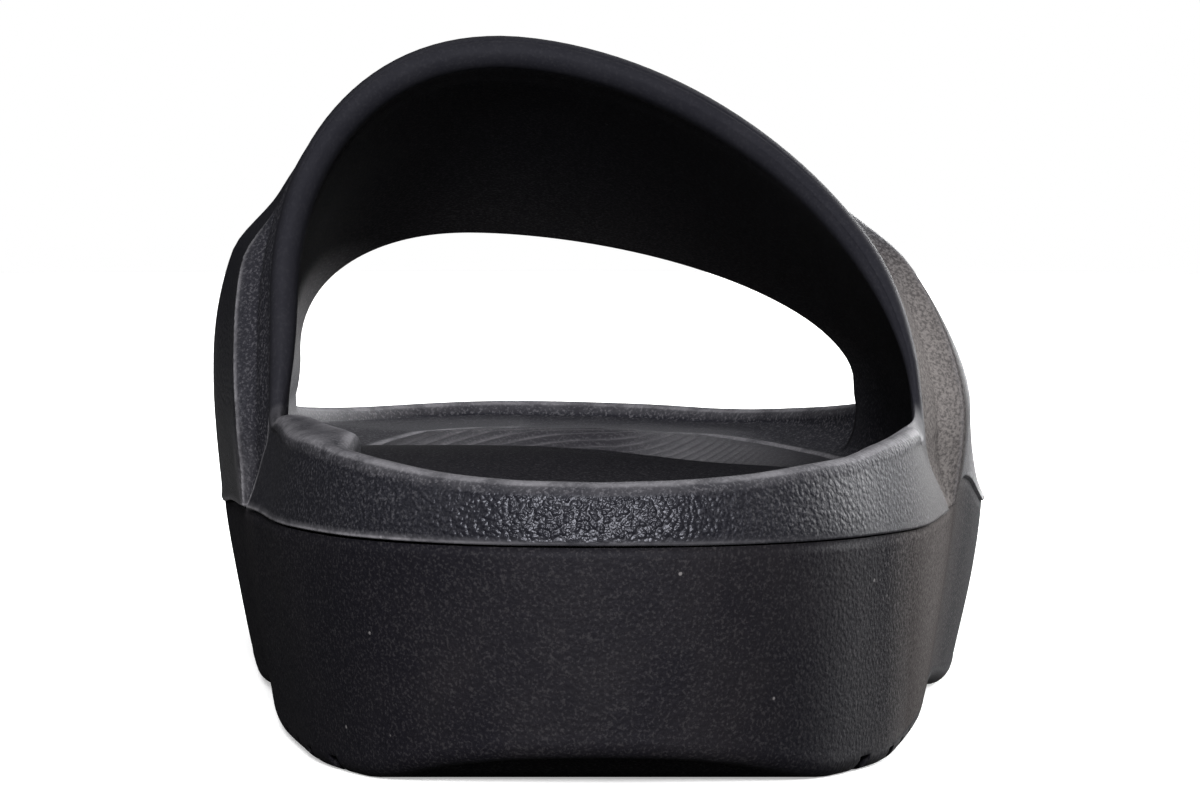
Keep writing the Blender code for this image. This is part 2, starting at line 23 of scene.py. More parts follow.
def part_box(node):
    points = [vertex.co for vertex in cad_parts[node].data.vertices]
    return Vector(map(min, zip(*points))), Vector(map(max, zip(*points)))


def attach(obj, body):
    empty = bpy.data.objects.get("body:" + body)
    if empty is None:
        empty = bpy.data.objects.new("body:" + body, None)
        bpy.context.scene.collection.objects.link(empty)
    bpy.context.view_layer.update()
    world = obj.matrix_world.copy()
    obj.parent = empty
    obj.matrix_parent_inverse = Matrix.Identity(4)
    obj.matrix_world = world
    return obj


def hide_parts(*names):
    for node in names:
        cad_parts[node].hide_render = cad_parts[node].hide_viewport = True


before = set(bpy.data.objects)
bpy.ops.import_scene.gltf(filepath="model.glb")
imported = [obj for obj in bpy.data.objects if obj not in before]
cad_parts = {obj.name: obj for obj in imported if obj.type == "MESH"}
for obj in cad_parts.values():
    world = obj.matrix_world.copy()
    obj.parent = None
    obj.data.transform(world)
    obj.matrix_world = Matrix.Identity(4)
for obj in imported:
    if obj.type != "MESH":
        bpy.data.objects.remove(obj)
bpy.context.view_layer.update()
CAMERA_ASIDE = 0.0596
LOG = logging.getLogger("slide_sandal")
Colour = tuple[float, float, float]
Socket = bpy.types.NodeSocket

Sides = namedtuple("Sides", "along medial lateral")
Bed = namedtuple("Bed", "along medial inner outer lateral")
Floor = namedtuple("Floor", "along bevel arch spring")
Flank = namedtuple("Flank", "foot along across shoulder cove panel wall")
Arch = namedtuple("Arch", "along crown across wall medial lateral")
Pair = tuple[Vector, Vector]
Spans = list[tuple[list[int], list[Vector]]]
Edge = tuple[Vector, float]
# Skin values: wear also carries painted highlights, and speckle over 1 adds pale chalk that is partly
# painted light
Skin = namedtuple("Skin", "lift pebble speckle polish wear", defaults=(0.0,) * 5)
Row = tuple[list[Vector], list[Skin]]

OUTLINE = (
    Sides(0.000, -0.377, 0.352),
    Sides(0.079, -0.373, 0.358),
    Sides(0.138, -0.386, 0.378),
    Sides(0.272, -0.432, 0.418),
    Sides(0.431, -0.463, 0.453),
    Sides(0.569, -0.492, 0.492),
    Sides(0.655, -0.503, 0.501),
    Sides(0.776, -0.500, 0.453),
    Sides(0.862, -0.490, 0.385),
    Sides(0.934, -0.494, 0.358),
    Sides(1.000, -0.508, 0.356),
)
PARTING = (
    Sides(0.000, 1.000, 1.000),
    Sides(0.200, 0.990, 0.973),
    Sides(0.293, 0.955, 0.955),
    Sides(0.345, 0.930, 0.961),
    Sides(0.379, 0.913, 1.006),
    Sides(0.424, 0.890, 1.003),
    Sides(0.472, 0.865, 0.966),
    Sides(0.521, 0.830, 0.870),
    Sides(0.569, 0.796, 0.800),
    Sides(0.690, 0.770, 0.770),
    Sides(0.810, 0.760, 0.760),
    Sides(0.914, 0.790, 0.790),
    Sides(1.000, 0.820, 0.820),
)
RIM = (
    Sides(0.000, 1.00, 1.00),
    Sides(0.045, 1.25, 1.20),
    Sides(0.079, 1.36, 1.28),
    Sides(0.103, 1.44, 1.40),
    Sides(0.155, 1.46, 1.50),
    Sides(0.190, 1.50, 1.48),
    Sides(0.215, 1.54, 1.45),
    Sides(0.238, 1.57, 1.42),
    Sides(0.300, 1.64, 1.42),
    Sides(0.780, 1.86, 1.86),
    Sides(0.830, 1.40, 1.40),
    Sides(0.900, 1.02, 1.02),
    Sides(0.970, 0.82, 0.80),
    Sides(1.000, 0.80, 0.80),
)
LEAN = (
    Sides(0.00, 0.0, 0.0),
    Sides(0.10, 0.3, 0.4),
    Sides(0.17, 1.1, 1.1),
    Sides(0.24, 1.95, 1.8),
    Sides(0.80, 1.0, 1.0),
    Sides(1.00, 1.0, 1.0),
)
TILT = (
    Sides(0.093, 0.00, 0.00),
    Sides(0.101, 0.85, 0.00),
    Sides(0.155, 0.95, 0.50),
    Sides(0.190, 0.98, 1.20),
    Sides(0.215, 1.00, 1.90),
    Sides(0.245, 1.05, 2.90),
    Sides(0.270, 1.15, 3.80),
    Sides(0.300, 1.00, 3.80),
    Sides(0.450, 0.00, 0.00),
)
SHELF_END = 0.097
SHELF_RAMP = 0.004
RIM_TOP = (
    Sides(0.000, 1.00, 1.00),
    Sides(SHELF_END - SHELF_RAMP, 1.05, 1.00),
    Sides(SHELF_END + SHELF_RAMP, 1.72, 1.02),
    Sides(0.130, 1.86, 1.05),
    Sides(0.170, 1.74, 1.08),
    Sides(0.205, 1.50, 0.98),
    Sides(0.238, 0.95, 0.74),
    Sides(0.830, 1.20, 1.20),
    Sides(1.000, 1.00, 1.00),
)
MARGIN = (
    Sides(0.00, 0.87, 0.87),
    Sides(0.10, 0.82, 0.80),
    Sides(0.24, 0.80, 0.76),
    Sides(0.43, 1.00, 0.87),
    Sides(0.55, 1.13, 0.85),
    Sides(0.69, 1.10, 0.83),
    Sides(0.80, 1.07, 0.93),
    Sides(0.86, 1.20, 1.00),
    Sides(0.92, 1.50, 1.25),
    Sides(1.00, 1.67, 1.67),
)
BED_LINES = (-1.0, -0.33, 0.33, 1.0)
FOOTBED = (
    Bed(0.045, 1.072, 1.036, 1.033, 1.060),
    Bed(0.172, 0.998, 0.930, 0.928, 0.985),
    Bed(0.328, 1.090, 1.035, 1.000, 1.005),
    Bed(0.459, 1.117, 1.112, 1.040, 0.990),
    Bed(0.569, 1.018, 0.990, 0.955, 0.940),
    Bed(0.690, 0.832, 0.782, 0.778, 0.830),
    Bed(0.793, 0.838, 0.802, 0.802, 0.860),
    Bed(0.914, 0.938, 0.930, 0.925, 0.925),
)
FLOOR = (
    Floor(0.00, 1.00, 0.0, 0.00),
    Floor(0.08, 0.00, 0.0, 0.00),
    Floor(0.30, 0.00, 0.0, 0.00),
    Floor(0.42, 0.00, 1.0, 0.00),
    Floor(0.54, 0.00, 0.0, 0.00),
    Floor(0.74, 0.00, 0.0, 0.00),
    Floor(0.88, 0.00, 0.0, 0.35),
    Floor(1.00, 0.00, 0.0, 1.00),
)
TREADS = ((0.08, 0.30), (0.54, 0.92))

# The strap's arches, from its rolled rear rim to its front edge
ARCHES = {
    "rear": Arch(
        0.366, 0.979, -0.127, 0.34,
        Flank(0.2655, 0.268, -0.396, 0.435, 0.20, 0.00, 0.34),
        Flank(0.2620, 0.233, 0.392, 0.207, 0.00, 0.00, 0.34),
    ),
    "round": Arch(
        0.370, 0.992, -0.127, 0.72,
        Flank(0.2680, 0.271, -0.402, 0.435, 0.30, 0.00, 0.62),
        Flank(0.2645, 0.236, 0.398, 0.207, 0.05, 0.00, 0.60),
    ),
    "bead": Arch(
        0.378, 1.000, -0.127, 0.96,
        Flank(0.2720, 0.276, -0.405, 0.435, 0.72, 0.00, 0.78),
        Flank(0.2690, 0.242, 0.402, 0.207, 0.06, 0.00, 0.76),
    ),
    "crease": Arch(
        0.393, 0.987, -0.127, 0.82,
        Flank(0.2800, 0.284, -0.405, 0.435, 1.00, 0.00, 0.66),
        Flank(0.2780, 0.258, 0.402, 0.207, 0.24, 0.00, 0.58),
    ),
    "cove": Arch(
        0.402, 0.984, -0.127, 0.86,
        Flank(0.2860, 0.290, -0.409, 0.420, 1.00, 0.04, 0.70),
        Flank(0.2840, 0.266, 0.404, 0.207, 0.36, 0.08, 0.58),
    ),
    "bevel": Arch(
        0.417, 0.981, -0.131, 1.00,
        Flank(0.2990, 0.300, -0.421, 0.374, 0.70, 0.30, 0.92),
        Flank(0.2970, 0.284, 0.408, 0.191, 0.30, 0.40, 0.60),
    ),
    "step": Arch(
        0.434, 0.973, -0.136, 1.06,
        Flank(0.3155, 0.314, -0.428, 0.328, 0.00, 1.00, 0.98),
        Flank(0.3130, 0.303, 0.415, 0.185, 0.00, 1.00, 0.64),
    ),
    "instep": Arch(
        0.507, 0.883, -0.144, 1.04,
        Flank(0.4310, 0.431, -0.463, 0.267, 0.00, 1.00, 1.60),
        Flank(0.4310, 0.431, 0.434, 0.160, 0.00, 1.00, 0.70),
    ),
    "waist": Arch(
        0.586, 0.775, -0.157, 1.00,
        Flank(0.5620, 0.562, -0.477, 0.237, 0.00, 1.00, 1.70),
        Flank(0.5690, 0.569, 0.446, 0.135, 0.00, 1.00, 0.80),
    ),
    "ball": Arch(
        0.659, 0.666, -0.169, 0.94,
        Flank(0.6900, 0.690, -0.480, 0.207, 0.00, 1.00, 1.56),
        Flank(0.7070, 0.707, 0.430, 0.116, 0.00, 1.00, 0.92),
    ),
    "lip": Arch(
        0.722, 0.563, -0.178, 0.88,
        Flank(0.7910, 0.791, -0.460, 0.191, 0.00, 1.00, 1.16),
        Flank(0.8160, 0.816, 0.386, 0.116, 0.00, 0.80, 1.08),
    ),
    "front": Arch(
        0.734, 0.538, -0.182, 0.60,
        Flank(0.8030, 0.803, -0.455, 0.191, 0.00, 0.60, 1.02),
        Flank(0.8280, 0.828, 0.379, 0.116, 0.00, 0.50, 0.84),
    ),
}


class Side(Enum):
    """The two sides of the foot, with the sign of each along X."""

    MEDIAL = -1
    LATERAL = 1


class Curve:
    """Smooth curve through (place, value) pairs that never overshoots them."""

    def __init__(self, pairs: Sequence[tuple[float, float]]) -> None:
        """Work out the slopes once.

        Args:
            pairs: places in rising order, each with its value.
        """
        self.places = [place for place, _ in pairs]
        self.values = [value for _, value in pairs]
        slopes = [(b[1] - a[1]) / (b[0] - a[0]) for a, b in zip(pairs, pairs[1:])]
        self.slopes = [slopes[0]]
        for before, after in zip(slopes, slopes[1:]):
            level = before * after <= 0.0
            self.slopes.append(0.0 if level else 2.0 * before * after / (before + after))
        self.slopes.append(slopes[-1])

    def __call__(self, at: float) -> float:
        """Value at one place, held level past both ends.

        Args:
            at: the place.

        Returns:
            The value.
        """
        if at <= self.places[0]:
            return self.values[0]
        if at >= self.places[-1]:
            return self.values[-1]
        i = bisect_right(self.places, at) - 1
        span = self.places[i + 1] - self.places[i]
        t = (at - self.places[i]) / span
        return (
            (2 * t**3 - 3 * t**2 + 1) * self.values[i]
            + (t**3 - 2 * t**2 + t) * span * self.slopes[i]
            + (3 * t**2 - 2 * t**3) * self.values[i + 1]
            + (t**3 - t**2) * span * self.slopes[i + 1]
        )


class Table:
    """Curves for every named column of a table."""

    def __init__(self, rows: Sequence[tuple]) -> None:
        """Make one curve per column.

        Args:
            rows: named tuples whose first field is the place along the shoe.
        """
        names = rows[0]._fields[1:]
        self.curves = {name: Curve([(row[0], getattr(row, name)) for row in rows]) for name in names}

    def at(self, name: str, along: float) -> float:
        """Value of one column at a share of the length."""
        return self.curves[name](along)

    def side(self, side: Side, along: float) -> float:
        """Value on one side of the foot at a share of the length."""
        return self.curves[side.name.lower()](along)


def ramp(value: float, low: float, high: float) -> float:
    """Soft step from 0 at low to 1 at high."""
    t = min(1.0, max(0.0, (value - low) / (high - low)))
    return t * t * (3.0 - 2.0 * t)


def bump_at(value: float, centre: float, half: float) -> float:
    """Bell that is 1 at its centre and fades out over about twice its half width."""
    return math.exp(-(((value - centre) / half) ** 2))


def row_between(rows: Sequence[tuple[float, tuple]], at: float) -> list[float]:
    """A table row at one place between the table's rows.

    Args:
        rows: (place, values) pairs.
        at: the place wanted.

    Returns:
        The values there, one smooth curve each.
    """
    return [Curve([(place, row[i]) for place, row in rows])(at) for i in range(len(rows[0][1]))]


@dataclass
class Last:
    """The shared shape that all three pieces are lofted from."""

    length: float = 0.290
    width: float = 0.118
    sole_height: float = 0.0334
    collar_height: float = 0.0086
    strap_rise: float = 0.0658
    bed_margin: float = 0.0150
    insole_thickness: float = 0.0035
    gap: float = 0.0003
    heel_bevel: float = 0.0045
    arch_lift: float = 0.0025
    toe_spring: float = 0.0110
    # Pale chalk round the outer side of the heel: real dust, and painted light standing in for the side
    # light there
    dusty: tuple[float, float] = (0.030, 0.049)
    dusty_end: tuple[float, float] = (-0.090, 0.060)
    dusty_fade: float = 0.9
    heel_end: tuple[float, float, float] = (0.050, -0.004, 2.2)
    toe_end: tuple[float, float, float] = (0.060, -0.119, 2.0)
    outline: Table = field(default_factory=lambda: Table(OUTLINE))
    parting: Table = field(default_factory=lambda: Table(PARTING))
    rims: Table = field(default_factory=lambda: Table(RIM))
    tilts: Table = field(default_factory=lambda: Table(TILT))
    lean: Table = field(default_factory=lambda: Table(LEAN))
    rim_top: Table = field(default_factory=lambda: Table(RIM_TOP))
    margins: Table = field(default_factory=lambda: Table(MARGIN))
    footbed: Table = field(default_factory=lambda: Table(FOOTBED))
    floors: Table = field(default_factory=lambda: Table(FLOOR))

    def edge(self, side: Side, along: float) -> Vector:
        """Point of the plan outline, with the heel and toe rounded.

        Args:
            side: side of the foot.
            along: share of the length.

        Returns:
            The point in plan, before the shoe is centred.
        """
        x = self.outline.side(side, along) * self.width
        depth, point, square = self.heel_end if along < 0.5 else self.toe_end
        from_end = min(along, 1.0 - along) * self.length
        reach = max(0.0, 1.0 - from_end / depth)
        middle = point * self.width
        x = middle + (x - middle) * max(0.0, 1.0 - reach**square) ** (1.0 / square)
        return Vector((x, (along - 0.5) * self.length))

    def parting_height(self, side: Side, along: float) -> float:
        """Height of the line between upper and sole."""
        return self.sole_height * self.parting.side(side, along)

    def rim_height(self, side: Side, along: float) -> float:
        """Height of the rim, or of the strap's root."""
        return self.parting_height(side, along) + self.collar_height * self.rims.side(side, along)

    def bed_height(self, along: float, across: float) -> float:
        """Height of the footbed; across runs from -1 at its inner edge to 1 at its outer edge."""
        lines = [self.footbed.at(name, along) for name in Bed._fields[1:]]
        return self.sole_height * Curve(list(zip(BED_LINES, lines)))(across)

    def dust_at(self, point: Vector) -> float:
        """Share of the pale chalk round the outer side of the heel, partly dust and partly painted light.
        """
        return ramp(point.x, *self.dusty) * (1.0 - self.dusty_fade * ramp(point.y, *self.dusty_end))

    def floor_height(self, along: float) -> float:
        """Height of the sole's underside over the floor, between its grooves."""
        return (
            self.heel_bevel * self.floors.at("bevel", along)
            + self.arch_lift * self.floors.at("arch", along)
            + self.toe_spring * self.floors.at("spring", along)
        )


class Column:
    """One upright section of the shoe's edge, from its foot at the parting line to its root."""

    def __init__(
        self, last: Last, side: Side, along: float, root: float, arch: Arch | None = None
    ) -> None:
        """Place the section.

        Args:
            last: the shared shape.
            side: side of the foot.
            along: place of the foot along the shoe.
            root: place of the rim's edge or the strap's root along the shoe.
            arch: the strap's arch here, if the section has one.
        """
        self.last = last
        self.side = side
        self.along = along
        self.root_along = root
        self.arch = arch
        self.foot = last.edge(side, along)
        self.root = last.edge(side, root)
        self.inward = Vector((0.0, 0.0))

    @property
    def flank(self) -> Flank:
        """The arch's own sizes on this side."""
        return getattr(self.arch, self.side.name.lower())

    @property
    def parting(self) -> float:
        """Height of the parting line."""
        return self.last.parting_height(self.side, self.along)

    @property
    def rim(self) -> float:
        """Height of the rim or the strap's root."""
        return self.last.rim_height(self.side, self.root_along)

    @property
    def margin(self) -> float:
        """From the outline to the insole's edge."""
        return self.last.bed_margin * self.last.margins.side(self.side, self.along)

    @property
    def bed(self) -> float:
        """Height of the footbed's edge."""
        return self.last.bed_height(self.along, self.side.value)

    def point(self, inset: float, z: float, rise: float = 0.0) -> Vector:
        """Point at an inset from the outline, a height and a share of the way to the root."""
        flat = self.foot.lerp(self.root, rise) + self.inward * inset
        return Vector((flat.x, flat.y, z))


def turn_inward(columns: list[Column]) -> list[Column]:
    """Point every column's inset direction to the inside of the loop that they make.

    Args:
        columns: the loop, from the heel over the inner side of the foot.

    Returns:
        The same columns.
    """
    for index, column in enumerate(columns):
        run = (columns[(index + 1) % len(columns)].foot - columns[index - 1].foot).normalized()
        column.inward = Vector((run.y, -run.x))
    return columns


class Draft:
    """Vertices, faces and skin values of one closed piece, collected before its mesh is made."""

    FULL_REACH = 0.4
    FLOOR_FADE = 0.003
    PULL = 0.5

    def __init__(self) -> None:
        """Start empty."""
        self.points: list[Vector] = []
        self.skins: list[Skin] = []
        self.faces: list[tuple[int, ...]] = []

    def row(self, points: Sequence[Vector], skins: Sequence[Skin]) -> list[int]:
        """Add a row of vertices.

        Args:
            points: places.
            skins: one set of skin values for each place.

        Returns:
            The vertices' numbers.
        """
        start = len(self.points)
        self.points += points
        self.skins += skins
        return list(range(start, len(self.points)))

    def strip(self, first: Sequence[int], second: Sequence[int], closed: bool = False) -> None:
        """Quads between two rows of as many vertices, with corners that fall together merged.

        Args:
            first: one row.
            second: the other row.
            closed: whether the rows are loops.
        """
        pairs = list(zip(first, second))
        following = pairs[1:] + pairs[:1] if closed else pairs[1:]
        for (a, b), (c, d) in zip(pairs, following):
            corners = tuple(dict.fromkeys((a, b, d, c)))
            if len(corners) > 2:
                self.faces.append(corners)

    def sheet(self, rows: Sequence[Sequence[int]], closed: bool = False) -> None:
        """Quads between each row and the next, and from the last to the first if closed."""
        for here, there in zip(rows, rows[1:] + rows[:1] if closed else rows[1:]):
            self.strip(here, there)

    def relax(self, centre: Vector, reach: float, floor: float, times: int) -> None:
        """Even out the surface round one place.

        Args:
            centre: the place.
            reach: how far round it.
            floor: height under which nothing moves.
            times: how many times over.
        """
        near, beside = {}, {}
        for index, point in enumerate(self.points):
            share = 1.0 - ramp((point - centre).length, self.FULL_REACH * reach, reach)
            share *= ramp(point.z, floor, floor + self.FLOOR_FADE)
            if share > 0.0:
                near[index], beside[index] = share, set()
        for face in self.faces:
            for here, there in zip(face, face[1:] + face[:1]):
                if here in near:
                    beside[here].add(there)
                if there in near:
                    beside[there].add(here)
        for _ in range(times):
            moved = {}
            for index, share in near.items():
                mean = sum((self.points[other] for other in beside[index]), Vector()) / len(beside[index])
                moved[index] = self.points[index].lerp(mean, self.PULL * share)
            for index, point in moved.items():
                self.points[index] = point

    def finish(self, name: str, shift: Vector) -> bpy.types.Object:
        """Make the object: outward faces, lifts applied, the other skin values as attributes.

        Args:
            name: the piece's name.
            shift: how far to move every point.

        Returns:
            The new object, linked to the scene.
        """
        data = bpy.data.meshes.new(name)
        data.from_pydata([tuple(point + shift) for point in self.points], [], self.faces)
        mesh = bmesh.new()
        mesh.from_mesh(data)
        bmesh.ops.recalc_face_normals(mesh, faces=mesh.faces)
        mesh.to_mesh(data)
        mesh.free()
        count = len(data.vertices)
        places = np.empty(count * 3)
        normals = np.empty(count * 3)
        data.vertices.foreach_get("co", places)
        data.vertex_normals.foreach_get("vector", normals)
        lifts = np.repeat([skin.lift for skin in self.skins], 3)
        data.vertices.foreach_set("co", places + normals * lifts)
        for label in Skin._fields[1:]:
            layer = data.attributes.new(label, "FLOAT", "POINT")
            layer.data.foreach_set("value", [getattr(skin, label) for skin in self.skins])
        data.shade_smooth()
        data.update()
        piece = bpy.data.objects.new(name, data)
        bpy.context.scene.collection.objects.link(piece)
        return piece


def rim_of(rows: Sequence[Sequence[int]]) -> list[int]:
    """Loop round the ends of a sheet's rows."""
    return [row[0] for row in rows] + [row[-1] for row in rows][-2:0:-1]


def swell(point: Vector, size: float, depth: float) -> float:
    """Slow unevenness of a moulded face.

    Args:
        point: place on the face.
        size: width of one swelling.
        depth: its height.

    Returns:
        How far the face lies off its true shape.
    """
    return depth * noise.noise(point / size)


class Nodes:
    """Short calls that fill one node tree."""

    def __init__(self, tree: bpy.types.NodeTree) -> None:
        """Work on one tree."""
        self.tree = tree

    def add(self, kind: str, **settings: object) -> bpy.types.Node:
        """Add a node.

        Args:
            kind: the node type, without the words ShaderNode.
            settings: inputs by name (with _ for a space), or else the node's own properties.

        Returns:
            The node.
        """
        node = self.tree.nodes.new("ShaderNode" + kind)
        for name, value in settings.items():
            label = name.replace("_", " ")
            if hasattr(node, name):
                setattr(node, name, value)
            else:
                self.feed(node.inputs[label], value)
        return node

    def feed(self, socket: Socket, value: object) -> None:
        """Link a socket to an input, or set the input to a plain value."""
        if isinstance(value, bpy.types.NodeSocket):
            self.tree.links.new(value, socket)
        else:
            socket.default_value = value

    def math(self, kind: str, first: object, second: object, clamp: bool = False) -> Socket:
        """Result of one sum.

        Args:
            kind: what is worked out.
            first: first value or link.
            second: second value or link.
            clamp: whether the result is held between 0 and 1.

        Returns:
            The result.
        """
        node = self.add("Math", operation=kind, use_clamp=clamp)
        self.feed(node.inputs[0], first)
        self.feed(node.inputs[1], second)
        return node.outputs[0]

    def plus(self, first: object, second: object, clamp: bool = False) -> Socket:
        """Sum of two values."""
        return self.math("ADD", first, second, clamp)

    def times(self, first: object, second: object, clamp: bool = False) -> Socket:
        """Product of two values."""
        return self.math("MULTIPLY", first, second, clamp)

    def band(
        self, value: object, low: float, high: float, start: float = 0.0, end: float = 1.0
    ) -> Socket:
        """Value moved softly from one range to another.

        Args:
            value: what is moved.
            low: start of its own range.
            high: end of its own range.
            start: result at low and under it.
            end: result at high and over it.

        Returns:
            The moved value.
        """
        node = self.add("MapRange", interpolation_type="SMOOTHSTEP")
        for socket, given in zip(node.inputs, (value, low, high, start, end)):
            self.feed(socket, given)
        return node.outputs[0]

    def blend(self, share: object, first: object, second: object) -> Socket:
        """Mix of two colours.

        Args:
            share: how much of the second.
            first: one colour.
            second: the other.

        Returns:
            The mixed colour.
        """
        node = self.add("Mix", data_type="RGBA")
        self.feed(node.inputs[0], share)
        for socket, colour in zip(node.inputs[6:8], (first, second)):
            plain = isinstance(colour, tuple)
            self.feed(socket, (*colour, 1.0) if plain else colour)
        return node.outputs[2]

    def skin(self, name: str) -> Socket:
        """One of the mesh's skin values."""
        return self.add("Attribute", attribute_name=name).outputs["Fac"]


@dataclass(frozen=True)
class Effect:
    """A shader group: its name, its inputs with their usual values, its outputs, and what fills it."""

    name: str
    inputs: tuple[tuple[str, float], ...]
    outputs: tuple[str, ...]
    fill: Callable[[Nodes, dict[str, Socket]], tuple[Socket, ...]]

    def tree(self) -> bpy.types.NodeTree:
        """The group's tree, made on first use.

        Returns:
            The tree.
        """
        known = bpy.data.node_groups.get(self.name)
        if known:
            return known
        tree = bpy.data.node_groups.new(self.name, "ShaderNodeTree")
        for label, value in self.inputs:
            socket = tree.interface.new_socket(label, in_out="INPUT", socket_type="NodeSocketFloat")
            socket.default_value = value
        for label in self.outputs:
            tree.interface.new_socket(label, in_out="OUTPUT", socket_type="NodeSocketFloat")
        start = tree.nodes.new("NodeGroupInput")
        end = tree.nodes.new("NodeGroupOutput")
        results = self.fill(Nodes(tree), {label: start.outputs[label] for label, _ in self.inputs})
        for label, result in zip(self.outputs, results):
            tree.links.new(result, end.inputs[label])
        return tree

    def place(self, nodes: Nodes, **values: object) -> bpy.types.Node:
        """Put the group into a material.

        Args:
            nodes: the material's nodes.
            values: that material's own values, by input (with _ for a space).

        Returns:
            The group's node.
        """
        node = nodes.tree.nodes.new("ShaderNodeGroup")
        node.node_tree = self.tree()
        for name, value in values.items():
            nodes.feed(node.inputs[name.replace("_", " ")], value)
        return node


def fill_pebble(nodes: Nodes, given: dict[str, Socket]) -> tuple[Socket, ...]:
    """Leather-like moulded pebbles: rounded cells of uneven size with fine valleys between them.

    Args:
        nodes: the group's nodes.
        given: its inputs by name.

    Returns:
        Height and valleys.
    """
    place = nodes.add("TexCoord").outputs["Object"]
    drift = nodes.add("TexNoise", Vector=place, Scale=900.0, Detail=2.0)
    shove = nodes.add("VectorMath", operation="SCALE", Scale=0.00016)
    nodes.feed(shove.inputs[0], drift.outputs["Color"])
    moved = nodes.add("VectorMath", operation="ADD")
    nodes.feed(moved.inputs[0], place)
    nodes.feed(moved.inputs[1], shove.outputs[0])
    shoved, coarse = moved.outputs[0], given["Cells"]
    cells = nodes.add("TexVoronoi", feature="SMOOTH_F1", Vector=shoved, Scale=coarse, Smoothness=0.35)
    fine = nodes.times(coarse, 1.9)
    small = nodes.add("TexVoronoi", feature="F1", Vector=shoved, Scale=fine)
    dome = nodes.band(cells.outputs["Distance"], 0.12, 0.72, 1.0, 0.0)
    part = nodes.band(small.outputs["Distance"], 0.1, 0.8, 1.0, 0.0)
    height = nodes.plus(nodes.times(dome, 0.75), nodes.times(part, 0.25))
    return height, nodes.band(height, 0.15, 0.5, 1.0, 0.0)


def fill_speckle(nodes: Nodes, given: dict[str, Socket]) -> tuple[Socket, ...]:
    """Fine rough tooth that a sand-blasted mould leaves, with pale tips.

    Args:
        nodes: the group's nodes.
        given: its inputs by name.

    Returns:
        Height and pale tips.
    """
    place = nodes.add("TexCoord").outputs["Object"]
    tooth = nodes.add("TexNoise", Vector=place, Scale=given["Grains"], Detail=3.0, Roughness=0.65)
    return tooth.outputs["Fac"], nodes.band(tooth.outputs["Fac"], 0.50, 0.66)


def fill_wear_and_highlight(nodes: Nodes, given: dict[str, Socket]) -> tuple[Socket, ...]:
    """Rubbed edges and painted edge highlights, broken up along their length.

    Args:
        nodes: the group's nodes.
        given: its inputs by name.

    Returns:
        The share of rubbed wear and painted highlight.
    """
    place = nodes.add("TexCoord").outputs["Object"]
    patches = nodes.add("TexNoise", Vector=place, Scale=given["Patches"], Detail=4.0, Roughness=0.7)
    edge = nodes.skin("wear")
    broken = nodes.band(patches.outputs["Fac"], 0.34, 0.62, 0.35, 1.0)
    rubbed_and_highlight = nodes.times(nodes.times(edge, broken), given["Amount"], clamp=True)
    return (rubbed_and_highlight,)


def fill_dust(nodes: Nodes, given: dict[str, Socket]) -> tuple[Socket, ...]:
    """Sparse specks of lint and a thin film that lies in loose clouds.

    Args:
        nodes: the group's nodes.
        given: its inputs by name.

    Returns:
        Specks and film.
    """
    place = nodes.add("TexCoord").outputs["Object"]
    dots = nodes.add("TexVoronoi", feature="F1", Vector=place, Scale=given["Specks"])
    spot = nodes.band(dots.outputs["Distance"], 0.03, 0.07, 1.0, 0.0)
    chance = nodes.add("SeparateColor", Color=dots.outputs["Color"]).outputs[1]
    rare = nodes.math("GREATER_THAN", chance, 0.80)
    cloud = nodes.add("TexNoise", Vector=place, Scale=26.0, Detail=5.0, Roughness=0.6)
    film = nodes.times(nodes.band(cloud.outputs["Fac"], 0.42, 0.72), given["Film"])
    return nodes.times(spot, rare), film


PEBBLE = Effect("pebble_grain", (("Cells", 1250.0),), ("Height", "Valley"), fill_pebble)
SPECKLE = Effect("mould_speckle", (("Grains", 2200.0),), ("Height", "Pale"), fill_speckle)
WEAR_AND_HIGHLIGHT = Effect("edge_wear", (("Patches", 160.0), ("Amount", 1.0)), ("Mask",), fill_wear_and_highlight)
DUST = Effect("dust", (("Specks", 210.0), ("Film", 0.3)), ("Specks", "Film"), fill_dust)


